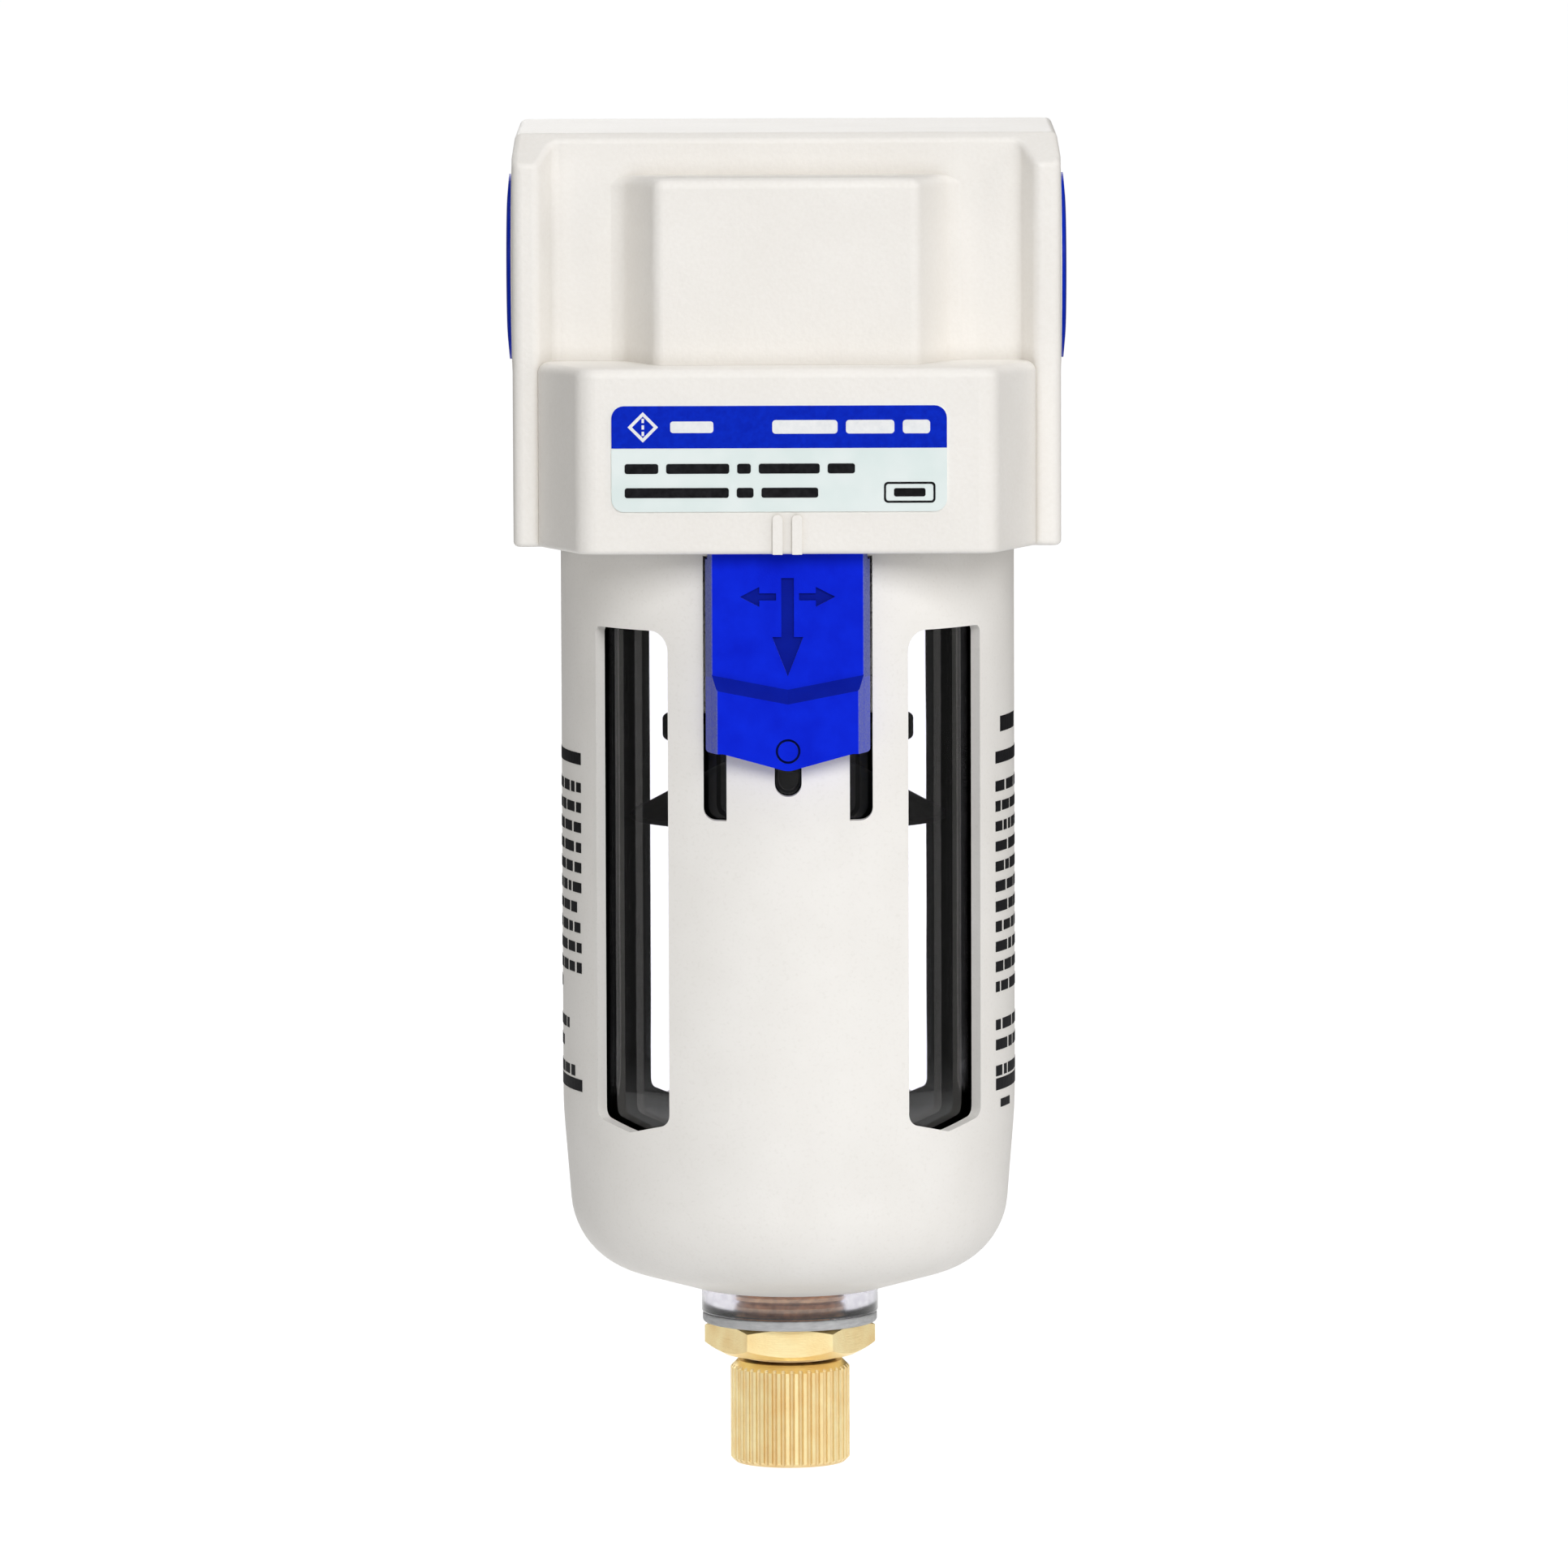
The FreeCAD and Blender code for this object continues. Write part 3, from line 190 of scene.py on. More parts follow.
class Look:
    """A procedural material. Most methods add a node and return its output socket."""

    def __init__(self, name, **sockets):
        self.material = bpy.data.materials.new(name)
        self.material.use_nodes = True
        self.tree = self.material.node_tree
        self.shader = self.tree.nodes["Principled BSDF"]
        for socket, value in sockets.items():
            self.shader.inputs[socket.replace("_", " ")].default_value = value
        self.coordinates = self.tree.nodes.new("ShaderNodeTexCoord")

    def node(self, kind, inputs, output=0, **settings):
        """Adds a node. Its inputs are numbers or other nodes' outputs."""
        made = self.tree.nodes.new("ShaderNode" + kind)
        for name, value in settings.items():
            setattr(made, name, value)
        for socket, value in inputs.items():
            if isinstance(value, bpy.types.NodeSocket):
                self.tree.links.new(value, made.inputs[socket])
            else:
                made.inputs[socket].default_value = value
        return made.outputs[output]

    def position(self):
        """The place on the part, in millimetres."""
        metres = self.coordinates.outputs["Object"]
        return self.node("VectorMath", {0: metres, "Scale": 1 / MM}, operation="SCALE")

    def axis(self, vector, name):
        """One part of a vector: X, Y or Z."""
        return self.node("SeparateXYZ", {0: vector}, output=name)

    def math(self, operation, a, b=0.0):
        """One step of arithmetic, by its name in the Math node."""
        return self.node("Math", {0: a, 1: b}, operation=operation)

    def length(self, vector, weights):
        """The length of a vector, each of its parts weighted: (1, 1, 0) gives the distance from Z."""
        kept = self.node("VectorMath", {0: vector, 1: weights}, operation="MULTIPLY")
        return self.node("VectorMath", {0: kept}, output="Value", operation="LENGTH")

    def noise(self, size, detail=2.0, stretch=(1, 1, 1), vector=None, shift=0.0):
        """Noise from 0 to 1 whose features are about size millimetres, longer where stretch is."""
        scale = [1 / (size * s) for s in stretch]
        moved = self.node("VectorMath", {0: vector or self.position(), 1: scale, 2: (shift,) * 3},
                          operation="MULTIPLY_ADD")
        return self.node("TexNoise", {"Vector": moved, "Scale": 1.0, "Detail": detail})

    def around(self):
        """Coordinates (arc, radius, height) of a turned part, in millimetres. The arc is at TURNED_R."""
        place = self.position()
        angle = self.math("ARCTAN2", self.axis(place, "Y"), self.axis(place, "X"))
        arc = self.math("MULTIPLY", angle, TURNED_R)
        return self.node("CombineXYZ", {0: arc, 1: self.length(place, (1, 1, 0)), 2: self.axis(place, "Z")})

    def fit(self, value, low, high, to_low=0.0, to_high=1.0):
        """Maps low..high to to_low..to_high, and holds it within them."""
        inputs = {"Value": value, "From Min": low, "From Max": high, "To Min": to_low, "To Max": to_high}
        return self.node("MapRange", inputs)

    def mix(self, share, a, b):
        """Colour a where share is 0, b where it is 1."""
        return self.node("Mix", {0: share, 6: a, 7: b}, output=2, data_type="RGBA")

    def both(self, a, b):
        """The product of two shares: 1 where both are 1."""
        return self.math("MULTIPLY", a, b)

    def either(self, a, b):
        """The larger of two shares."""
        return self.math("MAXIMUM", a, b)

    def above(self, value, limit):
        """1 where value is over limit, else 0."""
        return self.math("GREATER_THAN", value, limit)

    def below(self, value, limit):
        """1 where value is under limit, else 0."""
        return self.math("LESS_THAN", value, limit)

    def crevice_shade(self, reach):
        """1 in corners and at the feet of raised edges, 0 on open faces: where painted shade darkens the
        colour.
        """
        settings = {"samples": 6, "only_local": True}
        open_share = self.node("AmbientOcclusion", {"Distance": reach * MM}, output="AO", **settings)
        return self.fit(open_share, 0.45, 0.95, 1.0, 0.0)

    def bump(self, height, depth, under=None):
        """Relief: depth is how high the height's full range stands, in millimetres."""
        inputs = {"Height": height, "Distance": depth * MM, "Strength": 1.0}
        if under is not None:
            inputs["Normal"] = under
        return self.node("Bump", inputs)

    def set(self, socket, output):
        """Links a node's output to one of the shader's sockets."""
        self.tree.links.new(output, self.shader.inputs[socket])


def cast_body():
    """Off-white powder coat with a fine orange peel, and painted shade in its corners. Port threads and
    sockets are bare machined metal.
    """
    look = Look("cast_body", Specular_IOR_Level=0.45)
    place = look.position()
    height = look.axis(place, "Z")
    from_port = look.length(look.node("VectorMath", {0: place, 1: (0, 0, -PORT_Z)}), (0, 1, 1))
    aside = look.math("ABSOLUTE", look.axis(place, "X"))
    along_port = look.both(look.below(aside, PORT_FACE_X), look.above(aside, SOCKET_R / 2))
    in_port = look.both(look.below(from_port, PORT_MOUTH_R), along_port)
    in_socket = look.both(
        look.below(look.length(place, (1, 1, 0)), SOCKET_R),
        look.both(look.below(height, SOCKET_TOP), look.above(height, BODY_BOTTOM + 0.1)),
    )
    bare = look.either(in_port, in_socket)
    cloud = look.fit(look.noise(9.0, detail=3.0), 0.3, 0.7)
    grain = look.fit(look.noise(0.35, detail=2.0, shift=40.0), 0.35, 0.75)
    paint = look.mix(cloud, (0.882, 0.856, 0.816, 1), (0.912, 0.888, 0.850, 1))
    paint = look.mix(look.math("MULTIPLY", grain, 0.12), paint, (0.720, 0.675, 0.610, 1))
    # Painted shade: corners and the feet of raised edges are mixed towards a warm grey.
    paint = look.mix(look.math("MULTIPLY", look.crevice_shade(1.6), 0.4), paint, (0.480, 0.440, 0.380, 1))
    metal = look.mix(cloud, (0.62, 0.62, 0.60, 1), (0.72, 0.72, 0.71, 1))
    look.set("Base Color", look.mix(bare, paint, metal))
    look.set("Metallic", bare)
    matte = look.fit(grain, 0.0, 1.0, 0.46, 0.62)
    look.set("Roughness", look.math("SUBTRACT", matte, look.math("MULTIPLY", bare, 0.2)))
    peel = look.bump(look.noise(0.55, detail=3.0), 0.035)
    waves = look.bump(look.noise(3.5, detail=1.0, shift=7.0), 0.05, under=peel)
    look.set("Normal", waves)
    return look.material


def guard_white():
    """Moulded guard: off-white outside and in the slots, black on its inner wall, with painted shade in its
    corners.
    """
    look = Look("guard_white", Specular_IOR_Level=0.15)
    place = look.position()
    normal = look.coordinates.outputs["Normal"]
    level = look.node("VectorMath", {0: place, 1: (1, 1, 0)}, operation="MULTIPLY")
    outward = look.node("VectorMath", {0: level}, operation="NORMALIZE")
    facing = look.node("VectorMath", {0: normal, 1: outward}, output="Value", operation="DOT_PRODUCT")
    wall_inside = look.both(look.below(facing, -0.55),
                            look.below(look.length(place, (1, 1, 0)), GUARD_INNER_R + 0.15))
    floor_inside = look.both(look.above(look.axis(normal, "Z"), 0.45),
                             look.below(look.axis(place, "Z"), GUARD_BOTTOM_INSIDE_Z))
    inside = look.either(wall_inside, floor_inside)
    cloud = look.fit(look.noise(7.0, detail=3.0), 0.3, 0.7)
    speck = look.fit(look.noise(0.3, detail=2.0, shift=11.0), 0.55, 0.8)
    white = look.mix(cloud, (0.890, 0.868, 0.832, 1), (0.925, 0.905, 0.872, 1))
    white = look.mix(look.math("MULTIPLY", speck, 0.2), white, (0.680, 0.650, 0.600, 1))
    # Painted shade: corners and the feet of raised edges are mixed towards a warm grey.
    white = look.mix(look.math("MULTIPLY", look.crevice_shade(1.2), 0.35), white, (0.450, 0.420, 0.370, 1))
    black = look.mix(cloud, (0.004, 0.004, 0.004, 1), (0.010, 0.009, 0.009, 1))
    look.set("Base Color", look.mix(inside, white, black))
    matte = look.fit(look.noise(1.2, detail=3.0, shift=3.0), 0.2, 0.8, 0.46, 0.60)
    look.set("Roughness", look.math("ADD", matte, look.math("MULTIPLY", inside, 0.3)))
    fine = look.bump(look.noise(0.28, detail=2.0), 0.012)
    look.set("Normal", look.bump(look.noise(5.0, detail=1.0, shift=5.0), 0.06, under=fine))
    return look.material


def label_film():
    """Satin film with a faint mottle in its white."""
    look = Look("label_film", Specular_IOR_Level=0.5)
    cloud = look.fit(look.noise(4.0, detail=2.0), 0.3, 0.7)
    look.set("Base Color", look.mix(cloud, (0.760, 0.860, 0.845, 1), (0.830, 0.905, 0.895, 1)))
    look.set("Roughness", look.fit(look.noise(0.8, detail=2.0, shift=9.0), 0.2, 0.8, 0.28, 0.4))
    look.set("Normal", look.bump(look.noise(1.6, detail=1.0), 0.01))
    return look.material


def ink(name, light, dark, roughness):
    """Printed ink: slightly uneven in depth, as screen print is."""
    look = Look(name, Specular_IOR_Level=0.05)
    patch = look.fit(look.noise(0.5, detail=3.0), 0.3, 0.7)
    look.set("Base Color", look.mix(patch, dark, light))
    look.set("Roughness", look.fit(patch, 0.0, 1.0, roughness - 0.06, roughness + 0.08))
    look.set("Normal", look.bump(look.noise(0.22, detail=2.0, shift=2.0), 0.006))
    return look.material


def moulded_blue(name, light, dark, roughness, extra_shade=None):
    """Blue moulding with a fine spark-eroded skin, painted shade in its corners and a painted sheen on its
    sideways faces. Its last argument, if given, adds a share, 0 to 1, of painted shade in the recesses.
    """
    look = Look(name, Specular_IOR_Level=0.05)
    cloud = look.fit(look.noise(3.0, detail=3.0), 0.3, 0.7)
    tone = look.mix(cloud, dark, light)
    # Painted shade: corners, and the recesses that the last argument gives, are mixed towards dark navy.
    shade = look.math("MULTIPLY", look.crevice_shade(0.9), 0.55)
    if extra_shade:
        shade = look.either(shade, extra_shade(look))
    tone = look.mix(shade, tone, (0.001, 0.006, 0.090, 1))
    # Painted sheen: faces that look sideways are mixed towards a pale lilac grey, as a grazing highlight.
    edge = look.math("ABSOLUTE", look.axis(look.coordinates.outputs["Normal"], "X"))
    side_sheen = look.both(look.fit(edge, 0.35, 0.6), look.below(edge, 0.97))
    grain = look.fit(look.noise(0.16, detail=2.0, shift=8.0), 0.3, 0.7, 0.35, 0.8)
    look.set("Base Color", look.mix(look.both(side_sheen, grain), tone, (0.220, 0.250, 0.470, 1)))
    skin = look.noise(0.2, detail=2.0, shift=6.0)
    look.set("Roughness", look.fit(skin, 0.3, 0.7, roughness - 0.05, roughness + 0.08))
    fine = look.bump(skin, 0.012)
    look.set("Normal", look.bump(look.noise(2.2, detail=1.0), 0.03, under=fine))
    return look.material


def button_painted_shade(look):
    """Painted shade: the recessed arrows' floors, the ring's line and the thumb step's slope are darkened
    where shade would fall.
    """
    place = look.position()
    depth = look.axis(place, "Y")
    height = look.axis(place, "Z")
    normal = look.coordinates.outputs["Normal"]
    arrows = look.both(look.above(height, ARROW_ZONE_Z), look.above(depth, -BUTTON_UPPER_Y + MARK_DEPTH / 2))
    ring_height = look.below(look.math("ABSOLUTE", look.math("SUBTRACT", height, RING_Z)), RING_REACH)
    ring_width = look.below(look.math("ABSOLUTE", look.axis(place, "X")), RING_REACH)
    ring = look.both(look.both(ring_height, ring_width), look.above(depth, -BUTTON_LOWER_Y + MARK_DEPTH / 2))
    slope = look.both(look.above(look.axis(normal, "Z"), 0.35), look.below(look.axis(normal, "Y"), -0.35))
    recess_shade = look.either(look.math("MULTIPLY", arrows, 0.62), ring)
    return look.either(recess_shade, look.math("MULTIPLY", slope, 0.6))


def black_moulding():
    """Matt black moulding with faint flow marks up and down."""
    look = Look("black_moulding", Specular_IOR_Level=0.1)
    flow = look.fit(look.noise(2.5, detail=3.0, stretch=(1, 1, 3)), 0.3, 0.7)
    look.set("Base Color", look.mix(flow, (0.005, 0.005, 0.006, 1), (0.013, 0.013, 0.014, 1)))
    look.set("Roughness", look.fit(flow, 0.0, 1.0, 0.55, 0.7))
    look.set("Normal", look.bump(look.noise(0.25, detail=2.0), 0.012))
    return look.material


def seal_rubber():
    """Black rubber with a patchy pale bloom."""
    look = Look("seal_rubber", Specular_IOR_Level=0.3)
    bloom = look.fit(look.noise(1.5, detail=4.0), 0.35, 0.75)
    look.set("Base Color", look.mix(bloom, (0.012, 0.012, 0.012, 1), (0.035, 0.034, 0.033, 1)))
    look.set("Roughness", look.fit(bloom, 0.0, 1.0, 0.5, 0.7))
    look.set("Normal", look.bump(look.noise(0.15, detail=2.0), 0.008))
    return look.material


def grey_washer():
    """Grey fibre gasket with a dull, slightly grainy face."""
    look = Look("grey_washer", Specular_IOR_Level=0.3)
    grain = look.fit(look.noise(0.25, detail=3.0, vector=look.around(), stretch=(3, 1, 1)), 0.3, 0.7)
    look.set("Base Color", look.mix(grain, (0.420, 0.428, 0.440, 1), (0.560, 0.568, 0.580, 1)))
    look.set("Roughness", look.fit(grain, 0.0, 1.0, 0.72, 0.6))
    look.set("Normal", look.bump(grain, 0.015))
    return look.material


def element_resin():
    """Bonded porous element: open grain with darker pores."""
    look = Look("element_resin", Specular_IOR_Level=0.2)
    pores = look.node("TexVoronoi", {"Vector": look.position(), "Scale": 2.4})
    grain = look.fit(look.noise(0.5, detail=4.0), 0.3, 0.75)
    hollow = look.fit(pores, 0.05, 0.32)
    tone = look.mix(grain, (0.760, 0.740, 0.680, 1), (0.880, 0.865, 0.815, 1))
    look.set("Base Color", look.mix(hollow, (0.420, 0.395, 0.340, 1), tone))
    look.set("Roughness", look.fit(hollow, 0.0, 1.0, 0.95, 0.8))
    look.set("Normal", look.bump(look.both(grain, hollow), 0.22))
    return look.material


def clear_bowl():
    """Polished clear polycarbonate with a lilac cast and faint moulding waves."""
    look = Look("clear_bowl", Transmission_Weight=1.0, IOR=1.585, Specular_IOR_Level=0.1)
    haze = look.fit(look.noise(6.0, detail=3.0), 0.35, 0.8)
    foot = look.below(look.axis(look.position(), "Z"), BOWL_FOOT_Z)
    streak = look.fit(look.noise(0.9, detail=3.0, stretch=(1, 1, 0.6), shift=5.0), 0.35, 0.65)
    clear = look.mix(haze, (0.975, 0.972, 0.995, 1), (0.955, 0.950, 0.988, 1))
    frosted = look.mix(streak, (0.640, 0.620, 0.700, 1), (0.950, 0.940, 0.985, 1))
    look.set("Base Color", look.mix(foot, clear, frosted))
    smooth = look.fit(haze, 0.0, 1.0, 0.012, 0.035)
    look.set("Roughness", look.math("ADD", smooth, look.math("MULTIPLY", foot, 0.12)))
    look.set("Normal", look.bump(look.noise(5.0, detail=1.0, stretch=(1, 1, 4)), 0.012))
    return look.material


def steel(name, light, dark, stretch):
    """Drawn or plated steel: fine lines along the wire or round the rod."""
    look = Look(name, Metallic=1.0)
    lines = look.fit(look.noise(0.12, detail=3.0, stretch=stretch), 0.3, 0.7)
    patch = look.fit(look.noise(1.4, detail=2.0, shift=4.0), 0.3, 0.7)
    look.set("Base Color", look.mix(patch, dark, light))
    look.set("Roughness", look.fit(lines, 0.0, 1.0, 0.22, 0.38))
    look.set("Normal", look.bump(lines, 0.006))
    return look.material


def turned_brass():
    """Brass with turning lines round its axis, a light tarnish, darker flutes and thread roots, and a painted
    red-brown shadow in the neck between the knob and the thread.
    """
    look = Look("turned_brass", Metallic=1.0)
    place = look.position()
    out = look.length(place, (1, 1, 0))
    height = look.axis(place, "Z")
    turned = look.around()
    lines = look.fit(look.noise(0.10, detail=3.0, vector=turned, stretch=(60, 1, 1)), 0.3, 0.7)
    cloud = look.fit(look.noise(2.6, detail=4.0), 0.3, 0.72)
    tone = look.mix(cloud, (0.900, 0.690, 0.340, 1), (0.975, 0.840, 0.480, 1))
    tone = look.mix(look.above(height, BRASS_THREAD_Z), tone, (0.980, 0.640, 0.360, 1))
    on_knob = look.below(height, KNOB_FLUTE_TOP)
    flute = look.both(on_knob, look.fit(out, KNOB_R - KNOB_FLUTE_DEPTH, KNOB_R - 0.03, 1.0, 0.0))
    deep = look.fit(out, DRAIN_THREAD_R - DRAIN_THREAD_DEPTH, DRAIN_THREAD_R - 0.1, 1.0, 0.0)
    deep = look.both(look.below(out, DRAIN_THREAD_R - 0.05), deep)
    root = look.both(look.above(height, KNOB_FLUTE_TOP + 1.5), deep)
    grime = look.math("MULTIPLY", look.either(flute, root), 0.28)
    tone = look.mix(grime, tone, (0.430, 0.200, 0.075, 1))
    # Painted shadow: corners of the neck between the knob's flutes and the thread are mixed towards a deep
    # red-brown.
    between = look.both(look.above(height, KNOB_FLUTE_TOP + 0.1), look.below(height, BRASS_THREAD_Z))
    neck_shadow = look.both(between, look.crevice_shade(1.5))
    look.set("Base Color", look.mix(look.math("MULTIPLY", neck_shadow, 0.75), tone, (0.330, 0.090, 0.030, 1)))
    rough = look.fit(cloud, 0.0, 1.0, 0.46, 0.36)
    look.set("Roughness", look.math("ADD", rough, look.math("MULTIPLY", grime, 0.25)))
    look.set("Normal", look.bump(lines, 0.008))
    return look.material


def dress_nodes():
    """Gives every CAD node its material."""
    blue_cap = moulded_blue("plug_blue", (0.003, 0.030, 0.560, 1), (0.002, 0.020, 0.420, 1), 0.34)
    blue_button = moulded_blue("button_blue", (0.002, 0.022, 0.760, 1), (0.001, 0.014, 0.640, 1), 0.42,
                               button_painted_shade)
    black = black_moulding()
    rubber = seal_rubber()
    brass = turned_brass()
    rod = steel("zinc_steel", (0.70, 0.70, 0.66, 1), (0.55, 0.55, 0.52, 1), (30, 30, 1))
    wire = steel("spring_steel", (0.66, 0.66, 0.68, 1), (0.48, 0.48, 0.50, 1), (8, 8, 1))
    looks = {
        "body": cast_body(),
        "name_label": label_film(),
        "inlet_port_plug": blue_cap,
        "outlet_port_plug": blue_cap,
        "deflector": black,
        "element_top_gasket": rubber,
        "filter_element": element_resin(),
        "element_bottom_gasket": rubber,
        "element_stud": rod,
        "baffle": black,
        "bowl": clear_bowl(),
        "bowl_o_ring": rubber,
        "bowl_guard": guard_white(),
        "lock_button": blue_button,
        "lock_spring": wire,
        "drain_body": brass,
        "drain_body_o_ring": rubber,
        "drain_gasket": grey_washer(),
        "drain_nut": brass,
        "drain_valve_seal": rubber,
        "drain_knob": brass,
    }
    for node, material in looks.items():
        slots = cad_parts[node].data.materials
        slots.clear()
        slots.append(material)


# ---------------------------------------------------------------- printed marks

def rounded_outline(corners, steps=6):
    """Points (x, z) round corners (x, z, radius), each corner an arc."""
    points = []
    for index, (x, z, radius) in enumerate(corners):
        here = Vector((x, z))
        if radius == 0:
            points.append(here)
            continue
        back = (Vector(corners[index - 1][:2]) - here).normalized()
        ahead = (Vector(corners[(index + 1) % len(corners)][:2]) - here).normalized()
        half = back.angle(ahead) / 2
        centre = here + (back + ahead).normalized() * radius / math.sin(half)
        start = (here + back * radius / math.tan(half) - centre).normalized()
        end = (here + ahead * radius / math.tan(half) - centre).normalized()
        for step in range(steps + 1):
            points.append(centre + radius * start.slerp(end, step / steps))
    return points


def rectangle(x0, x1, z0, z1, radius=0.0):
    """A rectangle's outline, its corners rounded by radius."""
    return rounded_outline([(x0, z0, radius), (x1, z0, radius), (x1, z1, radius), (x0, z1, radius)])


def add_plate(mesh, outline, place, thickness):
    """A closed thin plate: place(x, z, t) gives a point at t above the surface under it."""
    under = [mesh.verts.new(place(p[0], p[1], 0.0)) for p in outline]
    over = [mesh.verts.new(place(p[0], p[1], thickness)) for p in outline]
    mesh.faces.new(over)
    mesh.faces.new(list(reversed(under)))
    for index in range(len(outline)):
        after = (index + 1) % len(outline)
        mesh.faces.new((under[index], under[after], over[after], over[index]))


def add_frame(mesh, outer, inner, place, thickness):
    """A closed thin ring of plate between two outlines with as many points."""
    rings = []
    for outline, height in ((outer, 0.0), (outer, thickness), (inner, thickness), (inner, 0.0)):
        rings.append([mesh.verts.new(place(p[0], p[1], height)) for p in outline])
    for step in range(4):
        low = rings[step]
        high = rings[(step + 1) % 4]
        for index in range(len(outer)):
            after = (index + 1) % len(outer)
            mesh.faces.new((low[index], low[after], high[after], high[index]))


def finished(name, mesh, material, body):
    """Turns a bmesh into a piece that rides on a body."""
    bmesh.ops.recalc_face_normals(mesh, faces=mesh.faces)
    data = bpy.data.meshes.new(name)
    mesh.to_mesh(data)
    mesh.free()
    piece = bpy.data.objects.new(name, data)
    bpy.context.scene.collection.objects.link(piece)
    piece.data.materials.append(material)
    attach(piece, body)
    return piece


def on_label(x, z, height):
    """A point at a height above the label's front."""
    return (x * MM, LABEL_FRONT - height * MM, z * MM)


def on_guard(x, z, height):
    """x is the arc from the -Y direction towards +X, in millimetres on the guard's surface."""
    angle = x / GUARD_R
    radius = (GUARD_R + height) * MM
    return (radius * math.sin(angle), -radius * math.cos(angle), z * MM)


def label_header(low, high, header_z):
    """The blue band across the label's top, with the label's own rounded corners."""
    mesh = bmesh.new()
    square = [(low.x, header_z, 0), (high.x, header_z, 0)]
    round_corners = [(high.x, high.z, LABEL_CORNER), (low.x, high.z, LABEL_CORNER)]
    add_plate(mesh, rounded_outline(square + round_corners), on_label, INK)
    blue = ink("header_ink", (0.001, 0.024, 0.560, 1), (0.001, 0.017, 0.470, 1), 0.4)
    finished("label_header", mesh, blue, "filter_head")


def label_header_marks(low, high, header_z):
    """On the band, a plain filter symbol, and bars that stand for its words."""
    mesh = bmesh.new()
    middle = (header_z + high.z) / 2
    add_symbol(mesh, low.x + SYMBOL_X, middle, SYMBOL_REACH)
    left = low.x + HEADER_LEFT_X
    right = high.x - HEADER_RIGHT_X
    add_words(mesh, left, middle, HEADER_LEFT_HEIGHT, HEADER_LEFT_WORDS, HEADER_GAP, 2 * INK)
    add_words(mesh, right, middle, HEADER_RIGHT_HEIGHT, HEADER_RIGHT_WORDS, HEADER_GAP, 2 * INK)
    white = ink("white_ink", (0.88, 0.89, 0.90, 1), (0.80, 0.82, 0.84, 1), 0.35)
    finished("label_header_marks", mesh, white, "filter_head")


def label_field_marks(low, high, header_z, black):
    """Under the band, two lines of bars and a small box."""
    mesh = bmesh.new()
    first = header_z - FIELD_TOP
    second = first - FIELD_PITCH
    add_words(mesh, low.x + FIELD_X, first, FIELD_HEIGHT, FIRST_WORDS, FIELD_GAP, INK)
    add_words(mesh, low.x + FIELD_X, second, FIELD_HEIGHT, SECOND_WORDS, FIELD_GAP, INK)
    right = high.x - BOX_MARGIN
    left = right - BOX_WIDTH
    outer = rectangle(left, right, second - BOX_HALF_HEIGHT, second + BOX_HALF_HEIGHT, BOX_CORNER)
    half = BOX_HALF_HEIGHT - BOX_LINE
    inner = rectangle(left + BOX_LINE, right - BOX_LINE, second - half, second + half, BOX_INNER_CORNER)
    add_frame(mesh, outer, inner, on_label, INK)
    word_x = left + (BOX_WIDTH - BOX_WORD_WIDTH) / 2
    add_words(mesh, word_x, second, BOX_WORD_HEIGHT, (BOX_WORD_WIDTH,), 0.0, INK)
    finished("label_field_marks", mesh, black, "filter_head")


def label_print(black):
    """Everything that is printed on the label."""
    low, high = [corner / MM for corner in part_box("name_label")]
    header_z = high.z - HEADER_SHARE * (high.z - low.z)
    label_header(low, high, header_z)
    label_header_marks(low, high, header_z)
    label_field_marks(low, high, header_z, black)


def add_words(mesh, x, z, height, widths, gap, thickness):
    """Plain bars in a row on the label, where the words of a line would be."""
    for width in widths:
        outline = rectangle(x, x + width, z - height / 2, z + height / 2, height * WORD_ROUNDING)
        add_plate(mesh, outline, on_label, thickness)
        x += width + gap


def add_symbol(mesh, x, z, reach):
    """The drawing symbol of a filter: a square on its corner with a dashed line down it."""
    squares = []
    for half in (reach, reach - SYMBOL_LINE):
        squares.append([(x, z - half), (x + half, z), (x, z + half), (x - half, z)])
    add_frame(mesh, squares[0], squares[1], on_label, 2 * INK)
    for centre in (z - DASH_PITCH, z, z + DASH_PITCH):
        dash = rectangle(x - DASH_HALF_WIDTH, x + DASH_HALF_WIDTH, centre - DASH_HALF_LENGTH,
                         centre + DASH_HALF_LENGTH)
        add_plate(mesh, dash, on_label, 2 * INK)


def curved_bar(mesh, start, end, z, height):
    """A bar on the guard, with enough points to follow its curve."""
    steps = max(1, math.ceil((end - start) / CELL_WIDTH))
    along = [start + (end - start) * step / steps for step in range(steps + 1)]
    for first, second in zip(along, along[1:]):
        join = (first > start, second < end)
        add_curved_cell(mesh, first, second, z - height / 2, z + height / 2, join)


def add_curved_cell(mesh, x0, x1, z0, z1, join):
    """One cell of a bar. Where it joins the next cell it has no side wall."""
    corners = [(x0, z0), (x1, z0), (x1, z1), (x0, z1)]
    under = [mesh.verts.new(on_guard(x, z, 0.0)) for x, z in corners]
    over = [mesh.verts.new(on_guard(x, z, INK)) for x, z in corners]
    mesh.faces.new(over)
    mesh.faces.new(list(reversed(under)))
    for index in range(4):
        if (index == 3 and join[0]) or (index == 1 and join[1]):
            continue
        after = (index + 1) % 4
        mesh.faces.new((under[index], under[after], over[after], over[index]))


def side_row(mesh, draw, left, line_end, z):
    """A row of bars of uneven width, as words are."""
    x = left
    while x < line_end - SHORTEST_LAST_WORD:
        word = min(draw.uniform(*WORD_WIDTHS), line_end - x)
        curved_bar(mesh, x, x + word, z, ROW_HEIGHT * draw.uniform(*WORD_HEIGHTS))
        x += word + draw.uniform(*WORD_GAPS)


